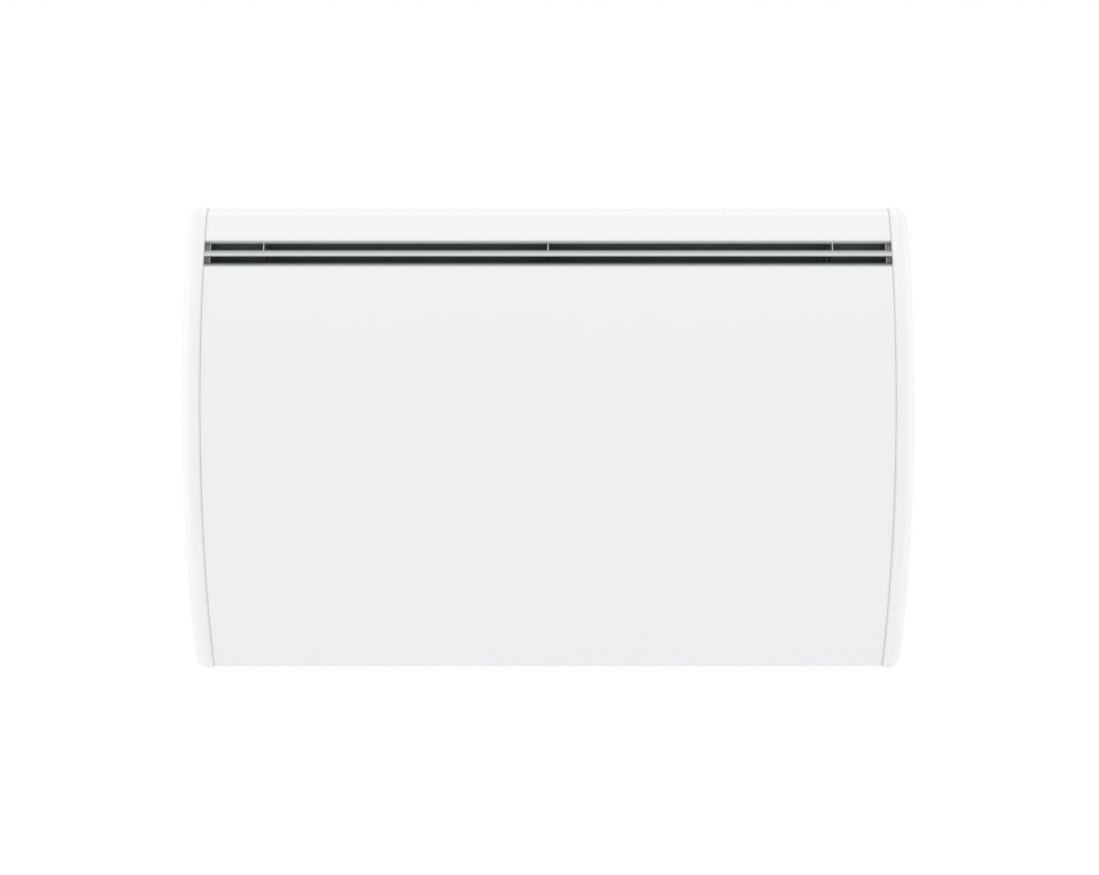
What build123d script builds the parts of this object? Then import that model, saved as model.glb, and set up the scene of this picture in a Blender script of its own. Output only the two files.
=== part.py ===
from build123d import *
from math import sqrt
import os

os.makedirs("parts", exist_ok=True)

# A slim wall-hung convector heater with a curved sheet-steel front and moulded end caps.
# +X is right seen from the room, +Y goes into the wall, +Z is up. The origin lies on the wall,
# in the middle of the bracket's four screw holes. "Depth" means distance out from the wall,
# so a depth d is the plane Y = -d.

# ---------------------------------------------------------------- outer form, over the end caps
body_height = 430.0
body_width = 665.0
front_depth = 108.0  # foremost line of the end caps
foot_depth = 42.2  # front's lower edge, before it is rounded
casing_gap = 18.0  # rear of the casing and end caps
crown_height = 33.0  # foremost line of the front, above mid-height
shoulder_radius = 16.0  # corner between front and top
foot_radius = 4.5  # corner between front and underside

# ---------------------------------------------------------------- sheet metal and clearances
casing_sheet = 1.0
panel_sheet = 0.8
plate_sheet = 1.0
duct_sheet = 0.8
sheet_bend = 1.6  # radius of a folded channel's middle line
fit_gap = 0.1  # between sheets that meet
seam_gap = 0.15  # end cap's lip over the casing
edge_gap = 0.5  # round a panel that drops into place
hole_gap = 0.25  # round a screw in its clearance hole
running_gap = 0.05  # round a turning pin or shaft
overcut = 1.0  # how far a cut runs past the face that it opens

# ---------------------------------------------------------------- front casing
cap_step = 1.5  # end caps stand proud of the casing by this
seam_from_end = 18.9  # end cap's width seen from the front
casing_tuck = 8.4  # casing's end under the end cap's lip
slot_height = 7.5
slot_bar = 5.5  # sheet left between the two outlet slots
slot_tuck = 4.0  # slots' ends under the end caps' lips
outlet_drop = 45.3  # top of the heater to the middle of that bar
rear_hem = 12.0  # flange turned down from the top, at the rear
foot_lip = 6.3  # lip turned back under the front

# ---------------------------------------------------------------- end caps
cap_wall = 2.5
cap_rim_radius = 14.0  # rounding from the front to the cap's outer side
lip_radius = 5.0  # rounding of the lip down to the seam
boss_radius = 4.5
boss_length = 14.0
boss_end = 55.0  # top or bottom of the heater to the outer bosses
cap_rib = 1.6
cap_rib_depth = 6.0
cap_ribs = 4  # ribs below the control window
cap_rib_end = 25.0  # bottom of the heater to the lowest rib
cap_rib_clear = 49.0  # highest of those ribs to the window
cap_rib_drop = 30.0  # top of the heater to the uppermost rib

# ---------------------------------------------------------------- chassis
side_plate_inset = 23.3  # outer end of the heater to the side plate's outer face
plate_flange = 8.0
shield_end = 65.0  # top or bottom of the heater to the heat shield's edge
shield_flange = 7.0
deflector_rise = 5.0  # deflector's top above the upper slot
deflector_radius = 55.0
deflector_foot = 16.0  # deflector's flange on the back panel
nose_depth = 62.0  # rear end of the centre brace's nose
brace_drop = 36.0  # nose to the centre brace's lower end
blank_depth = 64.0  # plates that close the slots' ends
blank_below = 7.5
blank_above = 10.0
grille_sheet = 1.0
grille_rest = 2.5  # grille's overlap on the casing's lip
grille_flange = 9.0
grille_slot = 8.0
grille_pitch = 12.5
grille_end = 16.0  # least distance from a duct wall to a slot
grille_border = 2.5  # metal left before and behind the slots
vent_length = 30.0
vent_height = 5.0
vent_pitch = 43.0
vent_rows = 3
vent_row_pitch = 12.0
vent_rise = 45.0  # bottom of the heater to the middle row
vent_end = 20.0  # least distance from a wall spacer to a vent

# ---------------------------------------------------------------- screws
screw_radius = 1.75
screw_head_radius = 3.5
screw_head = 2.2
screw_head_edge = 0.9  # chamfer round a head
screw_reach = 8.0
casing_screw_inset = 102.5  # end of the heater to the outer casing screws
chassis_screw_end = 65.0  # top or bottom of the heater to the outer chassis screws

# ---------------------------------------------------------------- heating element
element_rise = 105.0  # bottom of the heater to the element's axis
element_gap = 2.6  # back panel to the arms
shield_gap = 2.4  # arms to the heat shield
element_end = 24.6  # duct wall to the extrusion's end
arm_length = 21.0
arm_thick = 2.0
arm_rib_thick = 1.2
arm_rib_span = 8.0
arm_rib_radii = (9.0, 13.0, 17.0)
core_radius = 7.5
rod_radius = 4.25
rod_reach = 3.6  # rod's length outside a duct wall
bush_radius = 7.0
bush_flange_radius = 10.0
bush_flange = 3.0
bush_reach = 8.0
stud_radius = 2.0
stud_length = 15.0
nut_set = 7.5  # rod's end to the nut
nut_thick = 3.0
nut_across = 7.0

# ---------------------------------------------------------------- thermal cut-out
cutout_lift = 70.0  # above the element's axis
cutout_radius = 8.0
cutout_flange_radius = 12.0
cutout_flange = 1.2
cutout_reach = 12.0  # body length outside the duct
cutout_nose = 2.0  # sensing cap's reach into the duct
tab_width = 6.3
tab_thick = 0.8
tab_length = 8.0
tab_pitch = 9.0

# ---------------------------------------------------------------- controls in the right end cap
window_set_back = 51.0  # foremost line of the end cap to the middle of the window
window_drop = 145.0  # top of the heater to the middle of the window
window_across = 44.0
window_tall = 112.0
window_corner = 8.0
bezel_gap = 0.2
bezel_wall = 2.0
bezel_set_back = 0.5  # rim below the cap's face
bezel_floor_inset = 13.5  # cap's face to the bezel's floor
bezel_boss_radius = 3.2
bezel_boss_inset = 5.0  # window's edge to a boss
bezel_screw_radius = 1.4
bezel_screw_head_radius = 2.8
bezel_screw_head = 1.8
bezel_screw_reach = 6.0

knob_rise = 28.0  # above the middle of the window
knob_radius = 17.0
knob_grip_radius = 14.5
knob_skirt = 3.0
knob_edge = 1.4  # chamfer round the knob's top
knob_top_inset = 2.0  # cap's face to the knob's top
knob_lift = 0.5  # knob's underside above the bezel's floor
knob_flutes = 20
flute_radius = 1.6
flute_cut = 0.8
pointer_rest = 225.0  # the pointer's direction at the lowest setting, in degrees
pointer_middle = 7.25  # knob's axis to the middle of the pointer
pointer_length = 11.0
pointer_width = 1.4
pointer_cut = 0.6
shaft_radius = 3.0
shaft_flat = 1.0  # depth of the flat on the shaft
shaft_tail = 8.0  # shaft's length inside the thermostat
knob_cover = 3.0  # knob's material over the shaft's end
neck_radius = 5.0
neck_reach = 5.0  # neck's length outside the side plate
neck_nut_thick = 3.0
neck_nut_across = 13.0
thermostat_thick = 24.0
thermostat_across = 30.0
thermostat_tall = 34.0
thermostat_corner = 1.4

rocker_drop = 30.0  # below the middle of the window
rocker_across = 13.0
rocker_tall = 27.0
rocker_reach = 20.0  # body's length behind the bezel's floor
rocker_flange = 1.5
rocker_border = 1.6
rocker_wall = 1.4
rocker_well = 9.0
paddle_gap = 0.3
paddle_end_gap = 0.6
paddle_tilt = 8.0
paddle_pivot_drop = 3.0  # pivot below the flange's face
paddle_rise = 5.6
paddle_waist = 4.0
paddle_under = 2.2
paddle_lobe = 3.0
pivot_radius = 1.2
pivot_seat = 0.9  # pivot's length in the body's wall

# ---------------------------------------------------------------- ambient sensor
bulb_radius = 3.2
bulb_edge = 1.6
bulb_length = 62.0
bulb_inset = 8.5  # side plate to the bulb's axis
bulb_rise = 90.0  # bottom of the heater to the bulb's top
bulb_gap = 2.8  # terminal block to the bulb's clips
capillary_radius = 0.9
capillary_set = 13.0  # thermostat's middle to the capillary, towards the wall
capillary_run = 46.0  # height over which it moves across to the bulb
capillary_bend = 34.0
clip_thick = 1.2
clip_wide = 7.0

# ---------------------------------------------------------------- mains inlet
block_drop = 20.0  # element's axis to the middle of the terminal block
block_gap = 0.9  # terminal block to the flange on each side
block_across = 30.0
block_tall = 24.0
block_thick = 17.0
block_step = 5.0
pole_pitch = 9.5
pole_bore = 2.1
well_radius = 2.7
well_pitch = 12.0
pole_screw_length = 4.0
pole_screw_slot = 0.8
clamp_lift = 24.0  # grommet's middle to the cord clamp's
clamp_inset = 1.0  # terminal block's end to the clamp's
clamp_wide = 10.0
clamp_hump = 7.0
clamp_sheet = 1.5
clamp_screw_spacing = 20.0
clamp_screw_radius = 1.2
clamp_screw_head_radius = 2.7
clamp_screw_head = 1.8
clamp_screw_edge = 0.8
clamp_screw_tail = 1.5  # screw's end behind the back panel
grommet_rise = 25.0  # bottom of the heater to the grommet's middle
grommet_bore = 4.0
grommet_neck = 7.0
grommet_flange = 9.5
grommet_outer = 3.0
grommet_inner = 2.7
grommet_edge = 0.9
earth_lift = 52.0  # terminal block's middle to the earth stud
earth_reach = 14.0

# ---------------------------------------------------------------- wall bracket
bracket_sheet = 1.5
rail_spacing = 300.0
rail_width = 34.0
rail_rise = 103.0  # bottom of the heater to the rails' lower ends
latch_rise = 20.0  # centre of the air deflector's curve to the rails' tops
lower_hook_rise = 42.0  # above the rails' lower ends
upper_hook_drop = 55.0  # below the rails' tops
hook_arm = 6.0
hook_rise = 8.0
hook_thick = 3.2
hook_gap = 0.3
hook_slot_gap = 0.75
hook_lift = 16.0  # height of a hook's slot in the back panel
bar_half_height = 18.0
bar_lip = 6.0
wall_hole_radius = 3.25
wall_hole_spacing = 160.0
latch_tab_gap = 2.0  # tab's end to the back panel
latch_pin_back = 10.0  # latch's axis to the back panel
latch_pin_radius = 3.0
latch_head_radius = 6.0
latch_head = 3.0
latch_catch = 2.2  # blade's reach in front of the back panel
latch_blade_width = 7.0
latch_blade_thick = 2.0
latch_lift = 0.1
latch_slot_gap = 0.75
latch_collar = 1.5
latch_collar_radius = 4.5
latch_driver_slot = 1.4
spacer_radius = 9.0
spacer_edge = 1.0
spacer_stem_radius = 3.0
spacer_head_radius = 4.2
spacer_head = 2.2
spacer_head_edge = 1.1
spacer_inset = 102.5  # end of the heater to a spacer
spacer_rise = 30.0  # bottom of the heater to a spacer

# ---------------------------------------------------------------- places worked out from the sizes
half_height = body_height / 2
half_width = body_width / 2

front_drop = front_depth - foot_depth
front_span = half_height + crown_height
front_radius = (front_span**2 + front_drop**2) / (2 * front_drop)
curve_depth = front_depth - front_radius  # centre of the front's curve, as a depth
casing_inside = cap_step + casing_sheet
casing_top = half_height - cap_step
panel_rear = casing_gap + casing_sheet
panel_front = panel_rear + panel_sheet

seam_half = half_width - seam_from_end
casing_half = seam_half + casing_tuck
slot_half = seam_half + slot_tuck
slot_shift = (slot_bar + slot_height) / 2
outlet_height = half_height - outlet_drop
slot_top = outlet_height + slot_bar / 2 + slot_height
slot_bottom = outlet_height - slot_bar / 2 - slot_height
lip_start = seam_half - lip_radius + sqrt(lip_radius**2 - (lip_radius - cap_step) ** 2)

plate_half = half_width - side_plate_inset
plate_inner = plate_half - plate_sheet
inlet_x = plate_inner - plate_flange - block_gap - block_across / 2
wall_outer = inlet_x - block_across / 2 - block_gap - plate_flange
duct_half = wall_outer - duct_sheet
grille_bottom = -half_height + casing_inside
grille_top = grille_bottom + grille_sheet
deflector_top = slot_top + deflector_rise
deflector_centre = deflector_top - deflector_radius
deflector_bottom = deflector_centre - deflector_foot
blank_lower = slot_bottom - blank_below
blank_upper = slot_top + blank_above

element_height = -half_height + element_rise
element_radius = (arm_length + arm_thick / 2) / sqrt(2)  # the arms' reach towards the wall
element_depth = panel_front + element_gap + element_radius
element_half = duct_half - element_end
rod_half = wall_outer + rod_reach
shield_depth = element_depth + element_radius + shield_gap
shield_half_height = half_height - shield_end
cutout_height = element_height + cutout_lift

window_depth = front_depth - window_set_back
window_height = half_height - window_drop
knob_height = window_height + knob_rise
rocker_height = window_height - rocker_drop
block_height = element_height - block_drop
block_front = panel_front + block_thick
grommet_height = -half_height + grommet_rise
clamp_height = grommet_height + clamp_lift
clamp_across = block_across - 2 * clamp_inset
earth_height = block_height + earth_lift
bulb_depth = block_front + bulb_gap + clip_thick + bulb_radius
bulb_top = -half_height + bulb_rise

cap_inside = half_width - cap_wall
boss_x = cap_inside - boss_radius
boss_heights = (boss_end - half_height, 0.0, half_height - boss_end)
lowest_rib = -half_height + cap_rib_end
highest_rib = window_height - window_tall / 2 - cap_rib_clear
rib_step = (highest_rib - lowest_rib) / (cap_ribs - 1)
rib_heights = [lowest_rib + i * rib_step for i in range(cap_ribs)] + [half_height - cap_rib_drop]

rail_x = rail_spacing / 2
rail_top = deflector_centre + latch_rise
rail_bottom = -half_height + rail_rise
hook_heights = (rail_bottom + lower_hook_rise, rail_top - upper_hook_drop)
hook_x = (rail_width - bracket_sheet) / 2
latch_level = rail_top + latch_lift
latch_pin_depth = panel_rear - latch_pin_back
latch_blade_length = latch_pin_back + panel_sheet + latch_catch
spacer_x = half_width - spacer_inset
casing_screw_x = half_width - casing_screw_inset
casing_screws_at = [(x, casing_top - rear_hem / 2) for x in (-casing_screw_x, 0, casing_screw_x)]
chassis_screw_x = plate_inner - plate_flange / 2
chassis_screw_heights = (chassis_screw_end - half_height, 0.0, half_height - chassis_screw_end)
clamp_screws_at = [(inlet_x + side * clamp_screw_spacing / 2, clamp_height) for side in (-1, 1)]
bezel_boss_depths = [-window_depth + side * (window_across / 2 - bezel_boss_inset) for side in (-1, 1)]
bezel_boss_heights = [window_height + side * (window_tall / 2 - bezel_boss_inset) for side in (-1, 1)]
bezel_screws_at = [(depth, height) for depth in bezel_boss_depths for height in bezel_boss_heights]


def depth_at(height, inset):
    """Depth of the curved front, moved in by inset, at a height."""
    radius = front_radius - inset
    return curve_depth + sqrt(radius**2 - (height - crown_height) ** 2)


casing_foot = depth_at(-half_height + cap_step, cap_step)
lip_end = casing_foot - foot_lip


# ---------------------------------------------------------------- shapes used more than once
def end_outline(at, inset, rear):
    """The heater seen from its end, moved in by inset all round, with its rear at that depth."""
    level = half_height - inset
    with BuildSketch(Plane.YZ.offset(at)) as outline:
        with BuildLine():
            upper = (-depth_at(level, inset), level)
            lower = (-depth_at(-level, inset), -level)
            ThreePointArc(lower, (-(front_depth - inset), crown_height), upper)
            Polyline(upper, (-rear, level), (-rear, -level), lower)
        make_face()
        fillet(outline.vertices().group_by(Axis.Y)[-1].sort_by(Axis.X)[0], shoulder_radius - inset)
        fillet(outline.vertices().group_by(Axis.Y)[0].sort_by(Axis.X)[0], foot_radius - inset)
    return outline.sketch


def deflector_space(at, inset):
    """The space in front of and below the air deflector's sheet, less inset."""
    centre = (-panel_front - deflector_radius, deflector_centre)
    with BuildSketch(Plane.YZ.offset(at)) as space:
        with BuildLine():
            CenterArc(centre, deflector_radius - inset, 0, 90)
            Polyline(
                (centre[0], deflector_top - inset),
                (-front_depth, deflector_top - inset),
                (-front_depth, deflector_bottom),
                (-panel_front - inset, deflector_bottom),
                (-panel_front - inset, centre[1]),
            )
        make_face()
    return space.sketch


def side_rectangle(at, depths, heights):
    """A rectangle in an end view, between two depths and two heights."""
    with BuildSketch(Plane.YZ.offset(at)) as face:
        with Locations((-(depths[0] + depths[1]) / 2, (heights[0] + heights[1]) / 2)):
            Rectangle(abs(depths[1] - depths[0]), abs(heights[1] - heights[0]))
    return face.sketch


def rear_circles(depth, places, radius):
    """Circles facing the room, at one depth and a list of (x, z) places."""
    with BuildSketch(Plane.XZ.offset(depth)) as circles:
        with Locations(*places):
            Circle(radius)
    return circles.sketch


def rear_screws(seat, places, reach):
    """Pan-head screws driven in from behind, their heads seated at the depth called seat."""
    with BuildPart() as screws:
        extrude(rear_circles(seat - screw_head, places, screw_head_radius), amount=screw_head)
        chamfer(screws.edges().group_by(Axis.Y)[-1], screw_head_edge)
        extrude(rear_circles(seat, places, screw_radius), amount=reach)
    return screws.part


def nut_outline(plane, places, across, bore):
    """A hexagon nut's outline with its hole."""
    with BuildSketch(plane) as nut:
        with Locations(*places):
            RegularPolygon(across / 2, 6, major_radius=False)
            Circle(bore, mode=Mode.SUBTRACT)
    return nut.sketch


def save(builder, name):
    """Label a finished piece and write it as a STEP file."""
    builder.part.label = name
    export_step(builder.part, f"parts/{name}.step")


# ---------------------------------------------------------------- front casing
# One sheet: curved front, rounded shoulder, top, rear hem and the lip under the front.
with BuildPart() as front_casing:
    extrude(end_outline(-casing_half, cap_step, casing_gap), amount=2 * casing_half)
    extrude(end_outline(-casing_half, casing_inside, panel_rear), amount=2 * casing_half, mode=Mode.SUBTRACT)
    rear_depths = (casing_gap - overcut, panel_rear + overcut)
    open_rear = side_rectangle(-casing_half, rear_depths, (-half_height, casing_top - rear_hem))
    extrude(open_rear, amount=2 * casing_half, mode=Mode.SUBTRACT)
    open_foot = side_rectangle(-casing_half, (casing_gap - overcut, lip_end), (-half_height, grille_top))
    extrude(open_foot, amount=2 * casing_half, mode=Mode.SUBTRACT)
    with BuildSketch(Plane.XZ.offset(shield_depth)):
        with Locations((0, outlet_height - slot_shift), (0, outlet_height + slot_shift)):
            Rectangle(2 * slot_half, slot_height)
    extrude(amount=front_depth, mode=Mode.SUBTRACT)
    hem_holes = rear_circles(casing_gap, casing_screws_at, screw_radius + hole_gap)
    extrude(hem_holes, amount=casing_sheet, mode=Mode.SUBTRACT)
save(front_casing, "front_casing")


# ---------------------------------------------------------------- end caps
def cap_blank(side, start, end, inset, rear, rim):
    """A D-shaped block from start to end, rounded along its outer rim."""
    with BuildPart() as blank:
        extrude(end_outline(side * start, inset, rear), amount=side * (end - start))
        outer = blank.faces().sort_by(Axis.X)[-1 if side > 0 else 0]
        fillet(outer.edges().filter_by(lambda edge: edge.center().Y < -panel_front), rim)
    return blank.part


def end_cap(side):
    """A moulded end cap with a lip over the casing, inner ribs and screw bosses."""
    outside = cap_blank(side, lip_start, half_width, 0, casing_gap, cap_rim_radius)
    cut_start = lip_start - overcut
    cut_rear = casing_gap - overcut
    mid_wall = cap_wall / 2
    hollow = cap_blank(side, cut_start, cap_inside, cap_wall, cut_rear, cap_rim_radius - cap_wall)
    core = cap_blank(side, lip_start, cap_inside + mid_wall, mid_wall, panel_front, cap_rim_radius - mid_wall)
    with BuildPart() as ribs:
        with BuildSketch(Plane.YZ.offset(side * (cap_inside - cap_rib_depth))):
            with Locations(*[(-panel_front, height) for height in rib_heights]):
                Rectangle(front_depth, cap_rib, align=(Align.MAX, Align.CENTER))
        extrude(amount=side * (cap_rib_depth + mid_wall))
        add(core, mode=Mode.INTERSECT)
    with BuildPart() as shell:
        add(outside)
        seam = shell.faces().sort_by(Axis.X)[0 if side > 0 else -1]
        fillet(seam.edges().filter_by(lambda edge: edge.center().Y < -panel_front), lip_radius)
        pocket = end_outline(side * cut_start, cap_step - seam_gap, cut_rear)
        extrude(pocket, amount=side * (casing_half + edge_gap - cut_start), mode=Mode.SUBTRACT)
        add(hollow, mode=Mode.SUBTRACT)
        add(ribs.part)
        with BuildSketch(Plane.XZ.offset(panel_front)):
            with Locations(*[(side * boss_x, height) for height in boss_heights]):
                Circle(boss_radius)
            for height in boss_heights:
                with Locations((side * (boss_x + (boss_radius + mid_wall) / 2), height)):
                    Rectangle(boss_radius + mid_wall, cap_rib)
        extrude(amount=boss_length)
        pilots = rear_circles(panel_front, [(side * boss_x, height) for height in boss_heights], screw_radius)
        extrude(pilots, amount=boss_length - cap_wall, mode=Mode.SUBTRACT)
    return shell.part


with BuildPart() as left_end_cap:
    add(end_cap(-1))
save(left_end_cap, "left_end_cap")

with BuildPart() as right_end_cap:
    add(end_cap(1))
    with BuildSketch(Plane.YZ.offset(half_width)):
        with Locations((-window_depth, window_height)):
            RectangleRounded(window_across, window_tall, window_corner)
    extrude(amount=-cap_wall, mode=Mode.SUBTRACT)
save(right_end_cap, "right_end_cap")


# ---------------------------------------------------------------- back panel and chassis
def mirrored(places):
    """Each (x, z) place and its twin on the other side."""
    return [(side * x, z) for x, z in places for side in (-1, 1)]


chassis_screws_at = mirrored([(chassis_screw_x, height) for height in chassis_screw_heights])
cap_screws_at = mirrored([(boss_x, height) for height in boss_heights])
spacers_at = mirrored([(spacer_x, -half_height + spacer_rise)])
hook_middles = mirrored([(rail_x - hook_x, 0), (rail_x + hook_x, 0)])
hook_slots_at = [(x, height - hook_lift / 2) for x, _ in hook_middles for height in hook_heights]

# Flat sheet with slots for the bracket's hooks and latches, and air vents low down.
with BuildPart() as back_panel:
    with BuildSketch(Plane.XZ.offset(panel_rear)):
        corner = cap_rim_radius - cap_wall
        RectangleRounded(2 * (cap_inside - edge_gap), 2 * (half_height - cap_wall - edge_gap), corner)
        with Locations(*hook_slots_at):
            Rectangle(bracket_sheet + 2 * hook_slot_gap, hook_lift, mode=Mode.SUBTRACT)
        slot_start = rail_x - latch_blade_width / 2 - latch_slot_gap
        slot_end = rail_x + latch_blade_length + latch_slot_gap
        with Locations(*mirrored([((slot_start + slot_end) / 2, latch_level + latch_blade_thick / 2)])):
            Rectangle(slot_end - slot_start, latch_blade_thick + 2 * latch_slot_gap, mode=Mode.SUBTRACT)
        vents_aside = int((spacer_x - spacer_radius - vent_end - vent_length / 2) / vent_pitch)
        with Locations((0, -half_height + vent_rise)):
            with GridLocations(vent_pitch, vent_row_pitch, 2 * vents_aside + 1, vent_rows):
                Rectangle(vent_length, vent_height, mode=Mode.SUBTRACT)
        with Locations(*casing_screws_at, *chassis_screws_at, *cap_screws_at):
            Circle(screw_radius + hole_gap, mode=Mode.SUBTRACT)
        with Locations(*spacers_at):
            Circle(spacer_stem_radius, mode=Mode.SUBTRACT)
        with Locations((inlet_x, grommet_height)):
            Circle(grommet_neck, mode=Mode.SUBTRACT)
        with Locations((inlet_x, earth_height)):
            Circle(stud_radius, mode=Mode.SUBTRACT)
        with Locations(*clamp_screws_at):
            Circle(clamp_screw_radius + hole_gap, mode=Mode.SUBTRACT)
    extrude(amount=panel_sheet)
save(back_panel, "back_panel")


def chassis_plate(side, inner, sheet, flange):
    """An upright plate that follows the casing's inside, with a flange on the back panel."""
    start, end = side * inner, side * (inner + sheet)
    with BuildPart() as plate:
        extrude(end_outline(start, casing_inside + fit_gap, panel_front), amount=end - start)
        foot = side_rectangle(start, (0, front_depth), (-half_height, grille_top))
        extrude(foot, amount=end - start, mode=Mode.SUBTRACT)
        flange_heights = (grille_bottom + grille_flange + edge_gap, half_height - casing_inside - edge_gap)
        root = end if flange > 0 else start
        flange_face = side_rectangle(root, (panel_front, panel_front + sheet), flange_heights)
        extrude(flange_face, amount=side * flange)
        notch_depths = (panel_front, panel_front + grille_sheet + edge_gap)
        notch = side_rectangle(start, notch_depths, (-half_height, grille_bottom + grille_flange))
        extrude(notch, amount=end - start, mode=Mode.SUBTRACT)
    return plate.part


def side_plate(side):
    """The chassis end plate, screwed to the back panel through its inward flange."""
    with BuildPart() as plate:
        add(chassis_plate(side, plate_inner, plate_sheet, -plate_flange))
        places = [(side * chassis_screw_x, height) for height in chassis_screw_heights]
        extrude(rear_circles(panel_front, places, screw_radius), amount=plate_sheet, mode=Mode.SUBTRACT)
    return plate.part


with BuildPart() as left_side_plate:
    add(side_plate(-1))
save(left_side_plate, "left_side_plate")

with BuildPart() as right_side_plate:
    add(side_plate(1))
    with BuildSketch(Plane.YZ.offset(plate_inner)):
        with Locations((-window_depth, knob_height)):
            Circle(neck_radius)
        with Locations((-window_depth, rocker_height)):
            Rectangle(rocker_across + 2 * hole_gap, rocker_tall + 2 * hole_gap)
        with Locations(*bezel_screws_at):
            Circle(bezel_screw_radius + hole_gap)
    extrude(amount=plate_sheet, mode=Mode.SUBTRACT)
save(right_side_plate, "right_side_plate")


def duct_wall(side):
    """A side of the air duct: set back below the outlet, with a nose that carries the slots' bar."""
    with BuildPart() as wall:
        add(chassis_plate(side, duct_half, duct_sheet, plate_flange))
        ahead = (shield_depth + duct_sheet, front_depth)
        front = side_rectangle(side * duct_half, ahead, (-half_height, outlet_height))
        extrude(front, amount=side * duct_sheet, mode=Mode.SUBTRACT)
        with BuildSketch(Plane.YZ.offset(side * duct_half)):
            with Locations((-element_depth, element_height)):
                Circle(bush_radius)
            if side > 0:
                with Locations((-element_depth, cutout_height)):
                    Circle(cutout_radius)
        extrude(amount=side * duct_sheet, mode=Mode.SUBTRACT)
    return wall.part


with BuildPart() as left_duct_wall:
    add(duct_wall(-1))
save(left_duct_wall, "left_duct_wall")

with BuildPart() as right_duct_wall:
    add(duct_wall(1))
save(right_duct_wall, "right_duct_wall")

# A black curved sheet that turns the rising air out through the slots.
with BuildPart() as air_deflector:
    extrude(deflector_space(-duct_half, 0), amount=2 * duct_half)
    inside = end_outline(-duct_half, casing_inside + fit_gap, panel_front)
    extrude(inside, amount=2 * duct_half, mode=Mode.INTERSECT)
    extrude(deflector_space(-duct_half, duct_sheet), amount=2 * duct_half, mode=Mode.SUBTRACT)
save(air_deflector, "air_deflector")

# The web behind the middle of the slots: its nose carries the bar, its back rests in the deflector.
with BuildPart() as centre_brace:
    half_sheet = plate_sheet / 2
    extrude(deflector_space(-half_sheet, duct_sheet), amount=plate_sheet)
    inside = end_outline(-half_sheet, casing_inside + fit_gap, panel_front)
    extrude(inside, amount=plate_sheet, mode=Mode.INTERSECT)
    with BuildSketch(Plane.YZ.offset(-half_sheet)):
        with BuildLine():
            Polyline(
                (-front_depth, deflector_top),
                (-front_depth, outlet_height),
                (-nose_depth, outlet_height),
                (-panel_front, outlet_height - brace_drop),
                (-panel_front, deflector_top),
                close=True,
            )
        make_face()
    extrude(amount=plate_sheet, mode=Mode.INTERSECT)
save(centre_brace, "centre_brace")

# A channel between the duct walls that keeps the element's heat off the front.
with BuildPart() as heat_shield:
    middle = shield_depth + duct_sheet / 2
    end = duct_half - duct_sheet / 2
    with BuildSketch(Plane.XY.offset(-shield_half_height)):
        with BuildLine():
            FilletPolyline(
                (-end, -shield_depth + shield_flange),
                (-end, -middle),
                (end, -middle),
                (end, -shield_depth + shield_flange),
                radius=sheet_bend,
            )
        trace(line_width=duct_sheet)
    extrude(amount=2 * shield_half_height)
save(heat_shield, "heat_shield")


def slot_blank(side):
    """A black channel behind a slot's end, between the duct wall and the side plate."""
    middle = duct_sheet / 2
    with BuildPart() as channel:
        with BuildSketch(Plane.YZ.offset(side * wall_outer)):
            with BuildLine():
                FilletPolyline(
                    (-depth_at(blank_upper, casing_inside + edge_gap), blank_upper),
                    (-blank_depth - middle, blank_upper),
                    (-blank_depth - middle, blank_lower),
                    (-depth_at(blank_lower, casing_inside + edge_gap), blank_lower),
                    radius=sheet_bend,
                )
            trace(line_width=duct_sheet)
        extrude(amount=side * (plate_inner - wall_outer))
    return channel.part


with BuildPart() as left_slot_blank:
    add(slot_blank(-1))
save(left_slot_blank, "left_slot_blank")

with BuildPart() as right_slot_blank:
    add(slot_blank(1))
save(right_slot_blank, "right_slot_blank")

# The slotted strip across the air inlet, resting on the casing's lip.
with BuildPart() as intake_grille:
    grille_front = lip_end + grille_rest
    grille_half = plate_inner - edge_gap
    with BuildSketch(Plane.XY.offset(grille_bottom)):
        with Locations((0, -(grille_front + panel_front) / 2)):
            Rectangle(2 * grille_half, grille_front - panel_front)
        slot_front = lip_end - grille_border
        slot_rear = panel_front + grille_sheet + grille_border
        slots_aside = int((duct_half - grille_end - grille_slot / 2) / grille_pitch)
        with Locations((0, -(slot_front + slot_rear) / 2)):
            with GridLocations(grille_pitch, 0, 2 * slots_aside + 1, 1):
                Rectangle(grille_slot, slot_front - slot_rear, mode=Mode.SUBTRACT)
    extrude(amount=grille_sheet)
    upright_depths = (panel_front, panel_front + grille_sheet)
    upright = side_rectangle(-grille_half, upright_depths, (grille_bottom, grille_bottom + grille_flange))
    extrude(upright, amount=2 * grille_half)
save(intake_grille, "intake_grille")

# ---------------------------------------------------------------- heating element
# An aluminium extrusion with four ribbed arms, pressed onto a steel-sheathed rod.
with BuildPart() as element_body:
    with BuildSketch(Plane.YZ.offset(-element_half)):
        with Locations((-element_depth, element_height)):
            Circle(core_radius)
            with PolarLocations(0, 4, start_angle=45):
                Rectangle(arm_length, arm_thick, align=(Align.MIN, Align.CENTER))
                with Locations(*[(radius, 0) for radius in arm_rib_radii]):
                    Rectangle(arm_rib_thick, arm_rib_span)
            Circle(rod_radius, mode=Mode.SUBTRACT)
    extrude(amount=2 * element_half)
save(element_body, "element_body")


def element_disc(start, end, radius):
    """A round length of the element's axis, between two X positions."""
    with BuildSketch(Plane.YZ.offset(start)) as disc:
        with Locations((-element_depth, element_height)):
            Circle(radius)
    return extrude(disc.sketch, amount=end - start, mode=Mode.PRIVATE)


with BuildPart() as element_rod:
    add(element_disc(-rod_half, rod_half, rod_radius))
save(element_rod, "element_rod")


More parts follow.
